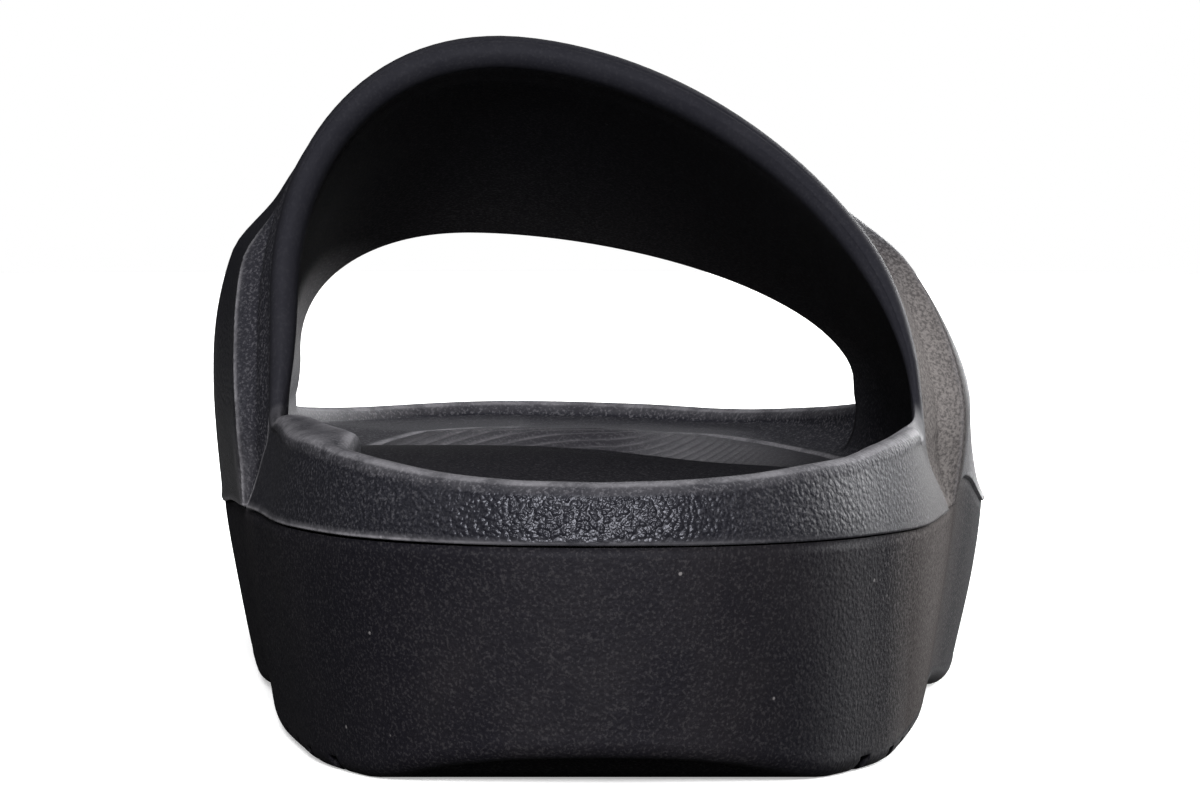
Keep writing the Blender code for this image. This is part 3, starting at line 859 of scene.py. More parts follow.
@dataclass(frozen=True)
class Foam:
    """Finish of a moulded foam piece."""

    slot: str
    colour: Colour
    deep: Colour
    # Pale colour for wear, dust specks and painted highlights
    worn: Colour
    dust: Colour
    roughness: float
    cells: float = 1250.0
    grains: float = 2200.0
    pale: float = 0.16
    band_matte: float = 0.32
    pebble_depth: float = 2.16
    tooth_depth: float = 0.5
    least_tooth: float = 0.12
    valley_share: float = 0.55
    wear_share: float = 0.85
    speck_share: float = 0.5
    rough_matte: float = 0.36
    film_matte: float = 0.2
    band_dull: float = 0.65
    rough_dull: float = 0.45
    chalk_dull: float = 1.4
    wear: float = 1.0
    film: float = 0.3
    specular: float = 0.5
    tint: Colour = (0.88, 0.89, 1.0)
    # Pale chalk colour, for dust and for painted light
    chalk: Colour = (0.140, 0.129, 0.125)

    def material(self) -> bpy.types.Material:
        """Build the node material.

        Returns:
            The material, ready for a mesh that carries the skin values.
        """
        made = bpy.data.materials.new(self.slot)
        made.use_nodes = True
        nodes = Nodes(made.node_tree)
        shader = made.node_tree.nodes["Principled BSDF"]
        pebble = PEBBLE.place(nodes, Cells=self.cells)
        tooth = SPECKLE.place(nodes, Grains=self.grains)
        wear = WEAR_AND_HIGHLIGHT.place(nodes, Patches=170.0, Amount=self.wear)
        dust = DUST.place(nodes, Specks=210.0, Film=self.film)
        grained, matte, polish = (nodes.skin(name) for name in ("pebble", "speckle", "polish"))
        rough = nodes.math("MINIMUM", matte, 1.0)
        dusty = nodes.math("SUBTRACT", matte, 1.0, clamp=True)

        valley = nodes.times(pebble.outputs["Valley"], nodes.times(grained, self.valley_share))
        colour = nodes.blend(valley, self.colour, self.deep)
        mottle = nodes.times(rough, nodes.band(tooth.outputs["Height"], 0.50, 0.38, 0.0, 0.5))
        colour = nodes.blend(mottle, colour, self.deep)
        pale = nodes.times(tooth.outputs["Pale"], nodes.times(rough, self.pale))
        colour = nodes.blend(pale, colour, self.worn)
        # Pale chalk where speckle is over 1: real dust, and painted light on the lit outer side and the
        # inner walls
        chalk_and_light_mask = nodes.times(dusty, nodes.band(tooth.outputs["Height"], 0.36, 0.62, 0.45, 1.0))
        colour = nodes.blend(chalk_and_light_mask, colour, self.chalk)
        # Pale colour from the wear mask: real scuffs and rubbing, plus painted highlights along flash
        # lines, rim corners and rib crests
        colour = nodes.blend(nodes.times(wear.outputs["Mask"], self.wear_share), colour, self.worn)
        colour = nodes.blend(dust.outputs["Film"], colour, self.dust)
        colour = nodes.blend(nodes.times(dust.outputs["Specks"], self.speck_share), colour, self.worn)
        nodes.feed(shader.inputs["Base Color"], colour)

        shine = nodes.plus(self.roughness, nodes.times(polish, self.band_matte))
        shine = nodes.plus(shine, nodes.times(rough, self.rough_matte))
        shine = nodes.plus(shine, nodes.times(dust.outputs["Film"], self.film_matte), clamp=True)
        nodes.feed(shader.inputs["Roughness"], shine)
        glossless = (nodes.times(polish, self.band_dull), nodes.times(rough, self.rough_dull))
        dull = nodes.plus(nodes.math("MAXIMUM", *glossless), nodes.times(dusty, self.chalk_dull))
        level = nodes.times(nodes.math("SUBTRACT", 1.0, dull, clamp=True), self.specular)
        nodes.feed(shader.inputs["Specular IOR Level"], level)
        shader.inputs["Specular Tint"].default_value = (*self.tint, 1.0)

        high = nodes.times(pebble.outputs["Height"], nodes.times(grained, self.pebble_depth))
        toothed = nodes.times(nodes.plus(rough, self.least_tooth), self.tooth_depth)
        low = nodes.times(tooth.outputs["Height"], toothed)
        relief = nodes.add("Bump", Strength=1.0, Distance=0.0001, Height=nodes.plus(high, low))
        nodes.feed(shader.inputs["Normal"], relief.outputs["Normal"])
        return made


def dress(piece: bpy.types.Object, finish: Foam, *nodes: str) -> None:
    """Give a piece its finish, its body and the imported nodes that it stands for.

    Args:
        piece: the piece.
        finish: its finish.
        nodes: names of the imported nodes.
    """
    piece.data.materials.append(finish.material())
    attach(piece, "root")
    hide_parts(*nodes)
    LOG.info("%s: %d faces, in place of %s", piece.name, len(piece.data.polygons), ", ".join(nodes))


@dataclass
class UpperMoulding:
    """The hollow upper: heel collar, inner shelf, strap with rolled rim and outer panel, toe rim."""

    last: Last
    finish: Foam
    # The walls, the rim and the strap's rolled edge
    strap_wall: float = 0.0050
    rim_width: float = 0.0052
    rim_round: float = 0.0020
    strap_round: float = 0.0027
    bed_round: float = 0.0006
    turn_reach: float = 0.0120
    tilt_height: float = 0.0015
    rim_lean: float = 0.0012
    belly: float = 0.0009
    flow_reach: float = 0.040
    slants: tuple[float, float] = (0.35, 1.2)
    slant_flat: float = 0.8
    groove_depth: float = 0.00022
    groove_up: tuple[float, float] = (0.62, 0.9)
    groove_row: int = 3
    # The strap's faces, the cove and the outer panel
    squares: tuple[float, float] = (2.15, 1.76)
    edge_sweep: float = 1.15
    tuck: float = 0.0020
    tuck_fade: tuple[float, float] = (0.050, 0.072)
    tuck_rise: float = 0.010
    cove_depth: float = 0.0038
    cove_ease: tuple[float, float] = (0.6, 0.72)
    panel_thickness: float = 0.0030
    panel_fade: tuple[float, float] = (0.50, 0.64)
    panel_step: tuple[float, float] = (0.42, 0.78)
    # How far and how often the strap's roots are evened
    melt_reach: float = 0.011
    melt_drop: float = 0.006
    melt_times: int = 40
    # Lips along the parting line, and flash lines there and on the panel's step, made pale with a painted
    # highlight
    lips: tuple[float, ...] = (0.0, 0.0003, 0.0006, 0.0012)
    lip_lifts: tuple[float, ...] = (-0.00016, 0.00010, 0.00002, 0.0)
    lip_wear: tuple[float, ...] = (0.6, 1.0, 0.25, 0.0)
    lip_shares: tuple[float, float, float] = (0.20, 0.70, 0.17)
    flash_reach: tuple[float, float] = (0.010, 0.035)
    flash_lift: float = 0.00010
    flash_wide: float = 0.0055
    flash_fade: float = 0.4
    seam_up: tuple[float, float] = (0.50, 0.68)
    seam_shares: tuple[float, float] = (0.65, 0.25)
    seam_half: float = 0.045
    seam_lift: float = 0.00025
    # Slow unevenness: the width of a swelling and its height
    inner_swell: tuple[float, float] = (0.03, 0.00012)
    strap_swell: tuple[float, float] = (0.035, 0.0002)
    collar_swell: tuple[float, float] = (0.03, 0.00015)
    well_swell: tuple[float, float] = (0.025, 0.00015)
    rim_swell: tuple[float, float] = (0.02, 0.00012)
    swell_rows: int = 5
    # How grained, rough, polished, dusty and worn the faces are, with the pale chalk partly painted light
    panel_grain: float = 0.8
    cove_grain: float = 0.15
    cove_tooth: float = 0.9
    panel_smooth: float = 0.8
    panel_matte: float = 0.9
    strap_dust: float = 1.3
    panel_clean: float = 0.75
    scuff: float = 0.35
    front_polish: float = 0.5
    front_wear: float = 0.06
    least_grain: float = 0.4
    dust_cover: float = 0.7
    heel_tooth: float = 0.1
    beside_tooth: float = 0.55
    dust_tooth: float = 0.65
    inner_dust: float = 0.20
    rim_grain: float = 0.6
    rim_tooth: tuple[float, float] = (0.2, 0.8)
    rim_wear: tuple[float, float] = (0.08, 0.42)
    # Where these begin and end
    heel_middle: float = -0.003
    pebble_reach: float = 0.024
    tooth_reach: tuple[float, float] = (0.012, 0.027)
    grain_rows: tuple[int, int] = (1, 3)
    scuff_across: tuple[float, float] = (0.040, 0.046)
    scuff_up: tuple[float, float] = (0.036, 0.046)
    scuff_along: tuple[float, float] = (-0.055, -0.045)
    matte_across: tuple[float, float] = (0.038, 0.046)
    matte_along: tuple[float, float] = (-0.050, -0.020)
    dark_crown: tuple[float, float] = (0.060, 0.084)
    dust_rise: float = 0.008
    band_fade: float = 0.002
    front_half: float = 0.006
    rim_edge: float = 2.5
    # Steps of the loft
    heel_columns: int = 56
    heel_turn: float = 1.25
    edge_steps: tuple[float, float] = (0.982, 0.994)
    least_step: float = 0.004
    toe_columns: int = 40
    wall_rows: int = 24
    inner_rows: int = 20
    bed_rows: int = 4
    low_steps: int = 12
    turn_steps: int = 48
    corner_turns: tuple[float, ...] = (0.20, 0.38, 0.46, 0.50, 0.54, 0.64, 0.82, 1.0)
    flat_rows: int = 3
    medial_rows: int = 40
    lateral_rows: int = 40
    fills: tuple[int, ...] = (10, 6, 8, 20, 14, 14, 14, 14)
    arches: list[Arch] = field(default_factory=list)
    columns: list[Column] = field(default_factory=list)
    first: int = 0
    shift: Vector = field(default_factory=Vector)

    def __post_init__(self) -> None:
        """Lay out the arches and the columns, and find the first column with an arch."""
        self.arches = self.make_arches()
        self.columns = self.make_columns()
        self.first = next(index for index, column in enumerate(self.columns) if column.arch)

    def make_arches(self) -> list[Arch]:
        """The table's arches with smooth ones between them, the broad outer face on its own curves.

        Returns:
            The arches from the rear edge to the front edge.
        """
        names = list(ARCHES)[2:-1]
        broad = [ARCHES[name] for name in names[names.index("step") :]]
        made = []
        for name, following, parts in zip(names, names[1:], self.fills):
            here, there = ARCHES[name], ARCHES[following]
            rows = broad if here in broad and there in broad else list(ARCHES.values())
            for part in range(parts):
                at = here.along + (there.along - here.along) * part / parts
                crown = row_between([(row.along, row[:4]) for row in rows], at)
                medial = Flank(*row_between([(row.along, row.medial) for row in rows], at))
                lateral = Flank(*row_between([(row.along, row.lateral) for row in rows], at))
                made.append(Arch(*crown, medial, lateral))
        return made + [ARCHES[names[-1]]]

    def make_columns(self) -> list[Column]:
        """Columns round the shoe, close together at the heel's point and where the shelf ends.

        Returns:
            The loop: heel point, inner side, toe point, outer side back to the heel.
        """
        turns = [self.heel_turn * i / self.heel_columns for i in range(self.heel_columns)]
        steps = [(1.0 - math.cos(turn)) / (1.0 - math.cos(self.heel_turn)) for turn in turns]
        steps += [(SHELF_END + SHELF_RAMP * k / 4) / self.arches[0].medial.along for k in range(-6, 7)]
        steps = sorted([*steps, *self.edge_steps])
        pairs = zip(steps, steps[1:] + [1.0])
        steps = [here for here, there in pairs if there - here > self.least_step or not here]
        sides = []
        for side in Side:
            flanks = [getattr(arch, side.name.lower()) for arch in self.arches]
            first, last = flanks[0], flanks[-1]
            columns = [Column(self.last, side, first.foot * step, first.along * step) for step in steps]
            for flank, arch in zip(flanks, self.arches):
                columns.append(Column(self.last, side, flank.foot, flank.along, arch))
            for index in range(self.toe_columns - 1, -1, -1):
                turn = math.pi / 2 * index / self.toe_columns
                along = 1.0 - (1.0 - last.along) * (1.0 - math.cos(turn))
                columns.append(Column(self.last, side, along, along))
            sides.append(columns)
        inner, outer = sides
        return turn_inward(inner + outer[-2:0:-1])

    def strap_height(self, share: float) -> float:
        """Height at a share of the strap's rise."""
        return self.last.sole_height + self.last.strap_rise * share

    def square_of(self, side: Side) -> float:
        """Squareness of the arch over one side of the foot."""
        return self.squares[side is Side.LATERAL]

    def hollow(self, drop: float) -> float:
        """Share of the cove's depth, from none at the shoulder (0) to the foot (1)."""
        ease, start = self.cove_ease
        return drop**2 * (1.0 - ease * ramp(drop, start, 1.0))

    def panel_at(self, flank: Flank) -> float:
        """Share of the outer panel's thickness at an arch, with a crisp step at its edge."""
        return ramp(flank.panel, *self.panel_step)

    def panel_left(self, z: float) -> float:
        """How much of the outer panel is left at a height."""
        low, high = (self.strap_height(share) for share in self.panel_fade)
        return 1.0 - ramp(z, low, high)

    def arch_point(
        self, column: Column, z: float | None = None, turn: float | None = None, inside: bool = False
    ) -> Vector:
        """Point of the strap's arch.

        Args:
            column: the section that the arch starts from.
            z: a height, or else
            turn: a turn from the shoulder (0) to the crown (1).
            inside: whether the point is on the inner face.

        Returns:
            The point, before the shoe is centred.
        """
        arch, flank, side = column.arch, column.flank, column.side.value
        wall = self.strap_wall if inside else 0.0
        spring_x = flank.across * self.last.width - side * (wall * flank.wall)
        crown_x = arch.across * self.last.width
        crown_z = self.strap_height(arch.crown) - wall * arch.wall
        shoulder_z = self.strap_height(flank.shoulder)
        square = self.square_of(column.side)
        if turn is not None:
            angle = turn * math.pi / 2
            x = crown_x + (spring_x - crown_x) * max(0.0, math.cos(angle)) ** (2.0 / square)
            z = shoulder_z + (crown_z - shoulder_z) * math.sin(angle) ** (2.0 / square)
        elif z > shoulder_z:
            lift = (z - shoulder_z) / (crown_z - shoulder_z)
            x = crown_x + (spring_x - crown_x) * (1.0 - lift**square) ** (1.0 / square)
        else:
            low_x = column.foot.x - side * self.panel_thickness * self.panel_at(flank)
            drop = (shoulder_z - z) / (shoulder_z - column.parting)
            cove = self.cove_depth * flank.cove * self.hollow(drop)
            x = spring_x + (low_x - spring_x) * drop**2 - side * cove
        if not inside:
            x += side * self.panel_thickness * self.panel_at(flank) * self.panel_left(z)
            if column.side is Side.LATERAL:
                early = 1.0 - ramp(arch.along, ARCHES["crease"].along, ARCHES["step"].along)
                low = (1.0 - ramp(z, *self.tuck_fade)) * ramp(z - column.parting, 0.0, self.tuck_rise)
                x -= self.tuck * early * low
        if z < column.rim:
            rise = max(0.0, (z - column.parting) / (column.rim - column.parting))
            return Vector((x, column.foot.y + (column.root.y - column.foot.y) * rise, z))
        sweep = min(1.0, (z - column.rim) / (crown_z - column.rim)) ** self.edge_sweep
        top_y = (arch.along - 0.5) * self.last.length
        return Vector((x, column.root.y + (top_y - column.root.y) * sweep, z))

    def half_arch(self, column: Column, inside: bool, rows: int) -> list[Vector]:
        """One side of an arch, from its wall's top to the crown, in even steps.

        Args:
            column: the section that the arch starts from.
            inside: whether it is the inner face.
            rows: number of steps.

        Returns:
            The points, both ends included.
        """
        start = self.wall_top(column, inside)
        shoulder = self.strap_height(column.flank.shoulder)
        crown = self.strap_height(column.arch.crown) - self.strap_wall * column.arch.wall * inside
        heights = [start + (shoulder - start) * k / self.low_steps for k in range(self.low_steps)]
        low = [self.arch_point(column, z=height, inside=inside) for height in heights]
        lift = max(0.0, (start - shoulder) / (crown - shoulder))
        first = math.asin(lift ** (self.square_of(column.side) / 2.0)) / (math.pi / 2)
        turns = [first + (1.0 - first) * k / self.turn_steps for k in range(self.turn_steps + 1)]
        line = low if shoulder > start else []
        line += [self.arch_point(column, turn=turn, inside=inside) for turn in turns]
        reach = [0.0]
        for here, there in zip(line, line[1:]):
            reach.append(reach[-1] + (there - here).length)
        points = []
        for row in range(rows + 1):
            at = reach[-1] * row / rows
            i = min(len(line) - 2, max(0, bisect_right(reach, at) - 1))
            share = (at - reach[i]) / max(1e-9, reach[i + 1] - reach[i])
            points.append(line[i].lerp(line[i + 1], min(1.0, share)))
        return points

    def wall_top(self, column: Column, inside: bool = False) -> float:
        """Height at which a face of the wall ends and the rounded rim or the strap begins."""
        tilt = self.tilt_height * self.last.tilts.side(column.side, column.root_along) if inside else 0.0
        return column.rim - self.rim_round + tilt

    def strap_skin(self, column: Column, point: Vector, inside: bool) -> Skin:
        """Skin of the strap at one arch: rolled rim, seam, cove, flash line on the step with a painted
        highlight, panel, and painted light low on the inner face.

        Args:
            column: the section with the arch that the point is on.
            point: the point.
            inside: whether it is on the inner face.

        Returns:
            Its skin values.
        """
        if inside:
            # Pale chalk low on the inner face is painted light, fading out towards the crown, which stays
            # dark
            low = ramp(point.z, column.rim, column.rim + self.dust_rise)
            low *= 1.0 - ramp(point.z, *self.dark_crown)
            return Skin(swell(point, *self.inner_swell), speckle=1.0 + self.inner_dust * low)
        at = column.arch.along
        low = 1.0 - ramp(point.z, *(self.strap_height(share) for share in self.seam_up))
        line = self.seam_shares[column.side is Side.LATERAL]
        # Flash line on the panel's step: a slight ridge, and pale colour that is a painted highlight
        # along it
        flash = line * bump_at(column.flank.panel, self.panel_step[1], self.seam_half) * low
        on_panel = ramp(at, ARCHES["bevel"].along, ARCHES["step"].along)
        band = 1.0 - ramp(at, ARCHES["bead"].along + self.band_fade, ARCHES["crease"].along)
        front = bump_at(at, ARCHES["lip"].along, self.front_half)
        lift = self.seam_lift * flash + swell(point, *self.strap_swell)
        grained = max(self.panel_grain * on_panel, self.cove_grain * (1.0 - band)) * (1.0 - front)
        rough = self.cove_tooth * (1.0 - band) * (1.0 - self.panel_smooth * on_panel)
        dull = ramp(point.x, *self.matte_across) * (1.0 - ramp(point.y, *self.matte_along))
        rough += self.panel_matte * on_panel * dull
        # Pale chalk on the outer side: dust, and painted light for the side light
        dusty = self.strap_dust * self.last.dust_at(point)
        rough += dusty * (1.0 - band) * (1.0 - self.panel_clean * on_panel)
        scuffed = self.scuff * ramp(-point.x, *self.scuff_across) * (1.0 - ramp(point.z, *self.scuff_up))
        scuffed *= on_panel * (1.0 - ramp(point.y, *self.scuff_along))
        worn = flash + self.front_wear * front + scuffed
        return Skin(lift, grained, rough, band + front * self.front_polish, worn)

    def inset(self, column: Column, share: float) -> float:
        """How far the collar leans in at a share of its height."""
        lean = self.rim_lean * self.last.lean.side(column.side, column.root_along)
        return lean * (1.0 - (1.0 - share) ** 2.0) + self.belly * share**2

    def flow(self, column: Column, share: float) -> Vector:
        """Shift that leads the outer collar into the strap's face near the strap's root.

        Args:
            column: a section of the collar, on the outer side of the foot.
            share: share of the collar's height.

        Returns:
            The shift.
        """
        root = self.columns[-self.first]
        near = ramp(column.root_along, root.root_along - self.flow_reach, root.root_along)
        z = root.parting + (self.wall_top(root) - root.parting) * share
        off = self.arch_point(root, z=z) - root.point(self.inset(root, share), z, share)
        return Vector((off.x, 0.0, 0.0)) * near

    def collar_skin(self, point: Vector, row: int) -> Skin:
        """Skin of the outer collar: pebbles at the heel's middle, tooth beside them, and pale chalk on
        the outer side that is partly dust and partly painted light.

        Args:
            point: place on the collar.
            row: its row, counted from the parting line.

        Returns:
            Its skin values.
        """
        dusty = self.last.dust_at(point)
        middle = bump_at(point.x, self.heel_middle, self.pebble_reach)
        grained = self.least_grain + (1.0 - self.least_grain) * middle
        grained = ramp(row, *self.grain_rows) * grained * (1.0 - self.dust_cover * dusty)
        beside = ramp(abs(point.x - self.heel_middle), *self.tooth_reach)
        rough = self.heel_tooth + self.beside_tooth * beside + self.dust_tooth * dusty
        lift = swell(point, *self.collar_swell) * min(1.0, row / self.swell_rows)
        return Skin(lift, grained, rough)

    def lip_skin(self, skin: Skin, point: Vector, row: int) -> Skin:
        """Add the thin lip along the parting line, and the painted highlight along it, both strongest on
        the inner side of the foot.

        Args:
            skin: skin without the lip.
            point: its place.
            row: its row, counted from the parting line.

        Returns:
            The skin with the lip.
        """
        usual, more, less = self.lip_shares
        inner, outer = (ramp(x, *self.flash_reach) for x in (-point.x, point.x))
        flash = usual + more * inner - less * outer
        # Pale colour along the lip is a painted highlight
        worn = self.lip_wear[row] * flash
        return skin._replace(lift=skin.lift + self.lip_lifts[row] * flash, wear=max(skin.wear, worn))

    def outer_wall(self, column: Column) -> Row:
        """Outer face on one column, from the parting line to the wall's top.

        Args:
            column: the section.

        Returns:
            Its points and their skins.
        """
        low, top_lip = column.parting + self.last.gap, self.lips[-1]
        span = self.wall_top(column) - low - top_lip
        upright = self.wall_rows - len(self.lips)
        rises = list(self.lips) + [top_lip + span * row / upright for row in range(1, upright + 1)]
        points, skins = [], []
        for row, rise in enumerate(rises):
            share = rise / rises[-1]
            if column.arch:
                point = self.arch_point(column, z=low + rise)
                skin = self.strap_skin(column, point, False)
            else:
                point = column.point(self.inset(column, share), low + rise, share)
                if column.side is Side.LATERAL:
                    point += self.flow(column, share)
                skin = self.collar_skin(point, row)
            if row < len(self.lips):
                skin = self.lip_skin(skin, point, row)
            # Painted highlight, with a slight ridge, along the free edge on the inner side of the foot,
            # fading up the collar
            ahead = self.arches[0].medial.foot - column.along
            if column.side is Side.MEDIAL and 0.0 < ahead < self.flash_wide:
                worn = max(skin.wear, 1.0 - self.flash_fade * share)
                skin = skin._replace(lift=skin.lift + self.flash_lift, wear=worn)
            points.append(point)
            skins.append(skin)
        return points, skins

    def inner_wall(self, column: Column) -> Row:
        """Inner face on one column, from under the insole's edge up to the wall's top.

        Args:
            column: the section.

        Returns:
            Its points and their skins.
        """
        edge = column.point(column.margin, column.bed)
        if column.arch:
            top = self.arch_point(column, z=self.wall_top(column, True), inside=True)
        else:
            width = self.rim_width * self.last.rim_top.side(column.side, column.root_along)
            top = column.point(width, self.wall_top(column, True), 1.0)
        points = [column.point(column.margin, column.bed - self.last.insole_thickness)]
        skins = [Skin(speckle=1.0)]
        for row in range(self.bed_rows + 1):
            angle = math.pi / 2 * row / self.bed_rows
            inset = column.margin - self.bed_round * (1.0 - math.cos(angle))
            points.append(column.point(inset, column.bed - self.bed_round * (1.0 - math.sin(angle))))
            skins.append(Skin(speckle=1.0, wear=0.35))
        span = Vector((top.x - edge.x, top.y - edge.y, 0.0)).length
        start = math.asin(min(0.9, self.bed_round / span))
        for row in range(1, self.inner_rows + 1):
            angle = start + (math.pi / 2 - start) * row / self.inner_rows
            out = edge.lerp(top, math.sin(angle))
            out.z = edge.z + (top.z - edge.z) * (1.0 - math.cos(angle))
            points.append(out)
            lift = swell(out, *self.well_swell) * (1.0 - row / self.inner_rows)
            skins.append(Skin(lift, speckle=1.0))
        return points, skins

    def arch_span(self, inner: Column, outer: Column, inside: bool) -> Row:
        """One arch between the wall rows of its two sides, from the inner side of the foot over.

        Args:
            inner: its section on the inner side.
            outer: its section on the outer side.
            inside: whether it is the inner face.

        Returns:
            Its points and their skins.
        """
        medial = self.half_arch(inner, inside, self.medial_rows)
        lateral = self.half_arch(outer, inside, self.lateral_rows)
        points = medial[1:] + lateral[1:-1][::-1]
        owners = [inner] * (len(medial) - 1) + [outer] * (len(lateral) - 2)
        return points, [self.strap_skin(owner, point, inside) for owner, point in zip(owners, points)]

    def band(self, outer: Vector, inner: Vector, ways: Sequence[Vector], height: float) -> list[Vector]:
        """Rounded edge between an outer and an inner point: two round corners and what is flat.

        Args:
            outer: point on the outer face.
            inner: point on the inner face.
            ways: directions in which its outer and its inner half stand proud.
            height: how far they do.

        Returns:
            The points between the two.
        """
        across = inner - outer
        wide = across.length
        across.normalize()
        corner = min(0.49 * wide, height)
        out, into = (way.normalized() * height for way in ways)
        turns = [math.pi / 2 * turn for turn in self.corner_turns]
        insets = [across * corner * (1.0 - math.cos(turn)) for turn in turns]
        near = [outer + inset + out * math.sin(turn) for inset, turn in zip(insets, turns)]
        far = [inner - inset + into * math.sin(turn) for inset, turn in zip(insets, turns)]
        flat = [near[-1].lerp(far[-1], (row + 1) / (self.flat_rows + 1)) for row in range(self.flat_rows)]
        return near + flat + far[::-1]

    def bulge(self, out: Vector, into: Vector, risen: float) -> float:
        """Height of the rounded edge: less where it slants up to the strap, more along the strap.

        Args:
            out: outer point of the edge.
            into: inner point of the edge.
            risen: how far up the strap it is, from 0 at the root to 1.

        Returns:
            The height.
        """
        slant = abs(into.z - out.z) / max(1e-6, math.hypot(into.x - out.x, into.y - out.y))
        flat = self.slant_flat * ramp(slant, *self.slants) * (1.0 - risen)
        return (self.rim_round + (self.strap_round - self.rim_round) * risen) * (1.0 - flat)

    @staticmethod
    def edge_way(around: Sequence[tuple[Vector, Vector]], way: float) -> Vector:
        """Direction square to the rim's run and to its width, up and away from the strap.

        Args:
            around: outer and inner point of three sections: the one before, this one, the one after.
            way: -1 at the strap's rear edge, 1 at its front edge.

        Returns:
            The direction.
        """
        before, here, after = around
        run = after[0] + after[1] - before[0] - before[1]
        ahead = (here[1] - here[0]).cross(run).normalized()
        return ahead if ahead.dot(Vector((0.0, 0.5 * way, 1.0))) > 0.0 else -ahead

    def rim_skins(self, points: Sequence[Vector], off: float) -> list[Skin]:
        """Skin of the rim: grain on its outer corner, tooth on its top and painted highlights along both
        corners, up to the smooth band.

        Args:
            points: the rim's points from outside to inside.
            off: distance from the strap's root.

        Returns:
            One skin for each point.
        """
        away = ramp(off, 0.0, self.turn_reach)
        skins = []
        for row, point in enumerate(points):
            corners = len(self.corner_turns)
            corner = max(0.0, 1.0 - row / corners)
            centres = (corners - 3, len(points) - corners + 2)
            edge = sum(bump_at(row, centre, self.rim_edge) for centre in centres)
            lift = swell(point, *self.rim_swell) * away
            # Slight wear all over, with painted highlights along the two corners
            (rough, tooth), (usual, rubbed_and_highlight) = self.rim_tooth, self.rim_wear
            worn = usual + rubbed_and_highlight * edge * away
            grained = self.rim_grain * corner * away
            skins.append(Skin(lift, grained, rough + tooth * away, 1.0 - away, worn))
        return skins

    def lay_arches(
        self, draft: Draft, walls: Sequence[list[int]], tops: Sequence[Vector], inside: bool
    ) -> Spans:
        """Loft one face of the strap between the tops of its walls.

        Args:
            draft: the moulding so far.
            walls: the vertices of this face's wall on every column.
            tops: the walls' top points.
            inside: whether it is the inner face.

        Returns:
            For every arch, its vertices and their places.
        """
        spans = []
        for station in range(self.first, self.first + len(self.arches)):
            points, skins = self.arch_span(self.columns[station], self.columns[-station], inside)
            numbers = [walls[station][-1]] + draft.row(points, skins) + [walls[-station][-1]]
            spans.append((numbers, [tops[station]] + points + [tops[-station]]))
        draft.sheet([numbers for numbers, _ in spans])
        return spans

    def roll_edge(
        self, draft: Draft, spans: Sequence[Spans], tops: Sequence[Pair], rear: bool
    ) -> list[list[int]]:
        """Close one edge of the strap, with a fine groove along the crown of the rear one.

        Args:
            draft: the moulding so far.
            spans: the arches of the outer and of the inner face.
            tops: outer and inner top point of every column.
            rear: whether it is the rear edge.

        Returns:
            Rows of vertices across the edge, from the inner side of the foot over.
        """
        edge, beyond = (0, 1) if rear else (-1, -2)
        beside = self.first - 1 if rear else self.first + len(self.arches)
        path, behind = (list(zip(*(face[at][1] for face in spans))) for at in (edge, beyond))
        path = [tops[beside]] + path + [tops[-beside]]
        lines = []
        for index, (out, into) in enumerate(path[1:-1]):
            root = path[1] if index < len(behind) // 2 else path[-2]
            risen = ramp(out.z - root[0].z, 0.0, self.turn_reach)
            corner = self.edge_way(path[index : index + 3], -1.0 if rear else 1.0)
            slopes = [(there - here).normalized() for there, here in zip((out, into), behind[index])]
            ways = [corner.lerp(slope, risen) for slope in slopes]
            points = self.band(out, into, ways, self.bulge(out, into, risen))
            crown = ramp(out.z, *(self.strap_height(share) for share in self.groove_up)) * rear
            skins = [Skin(speckle=0.1, polish=1.0, wear=0.01)] * len(points)
            skins[self.groove_row] = skins[0]._replace(lift=-self.groove_depth * crown)
            ends = [face[edge][0][index] for face in spans]
            lines.append([ends[0]] + draft.row(points, skins) + [ends[1]])
        draft.sheet(lines)
        return lines

    def build(self) -> bpy.types.Object:
        """Loft the whole moulding.

        Returns:
            The finished object.
        """
        draft = Draft()
        columns, total = self.columns, len(self.columns)
        faces = [[face(column) for column in columns] for face in (self.outer_wall, self.inner_wall)]
        walls = [[draft.row(*wall) for wall in face] for face in faces]
        for rows in walls:
            draft.sheet(rows, closed=True)
        draft.strip(*([row[0] for row in rows] for rows in walls), closed=True)

        ends = [[points[-1] for points, _ in face] for face in faces]
        tops = list(zip(*ends))
        spans = [self.lay_arches(draft, walls[face], ends[face], bool(face)) for face in (0, 1)]
        rims: dict[int, list[int]] = {}
        last = self.first + len(self.arches) - 1
        for station, rear in ((self.first, True), (last, False)):
            lines = self.roll_edge(draft, spans, tops, rear)
            rims[station], rims[total - station] = lines[0], lines[-1]

        heel = [index % total for index in range(total - self.first, total + self.first + 1)]
        toe = list(range(last, total - last + 1))
        for rim, station, way in ((heel, self.first, -1.0), (toe, last, 1.0)):
            for index in rim:
                if index in rims:
                    continue
                root = columns[station if columns[index].side is Side.MEDIAL else -station]
                off = abs(root.root.y - columns[index].root.y)
                ahead = self.edge_way((tops[index - 1], tops[index], tops[(index + 1) % total]), way)
                points = self.band(*tops[index], (ahead, ahead), self.bulge(*tops[index], 0.0))
                middle = draft.row(points, self.rim_skins(points, off))
                rims[index] = [walls[0][index][-1]] + middle + [walls[1][index][-1]]
            draft.sheet([rims[index] for index in rim])

        for root in (columns[self.first], columns[-self.first]):
            centre = root.point(0.0, root.rim, 1.0)
            draft.relax(centre, self.melt_reach, root.rim - self.melt_drop, self.melt_times)
        spread = [[point[axis] for point in draft.points] for axis in (0, 1)]
        self.shift = Vector((*(-(min(row) + max(row)) / 2 for row in spread), 0.0))
        piece = draft.finish("moulded_upper", self.shift)
        dress(piece, self.finish, "upper")
        return piece


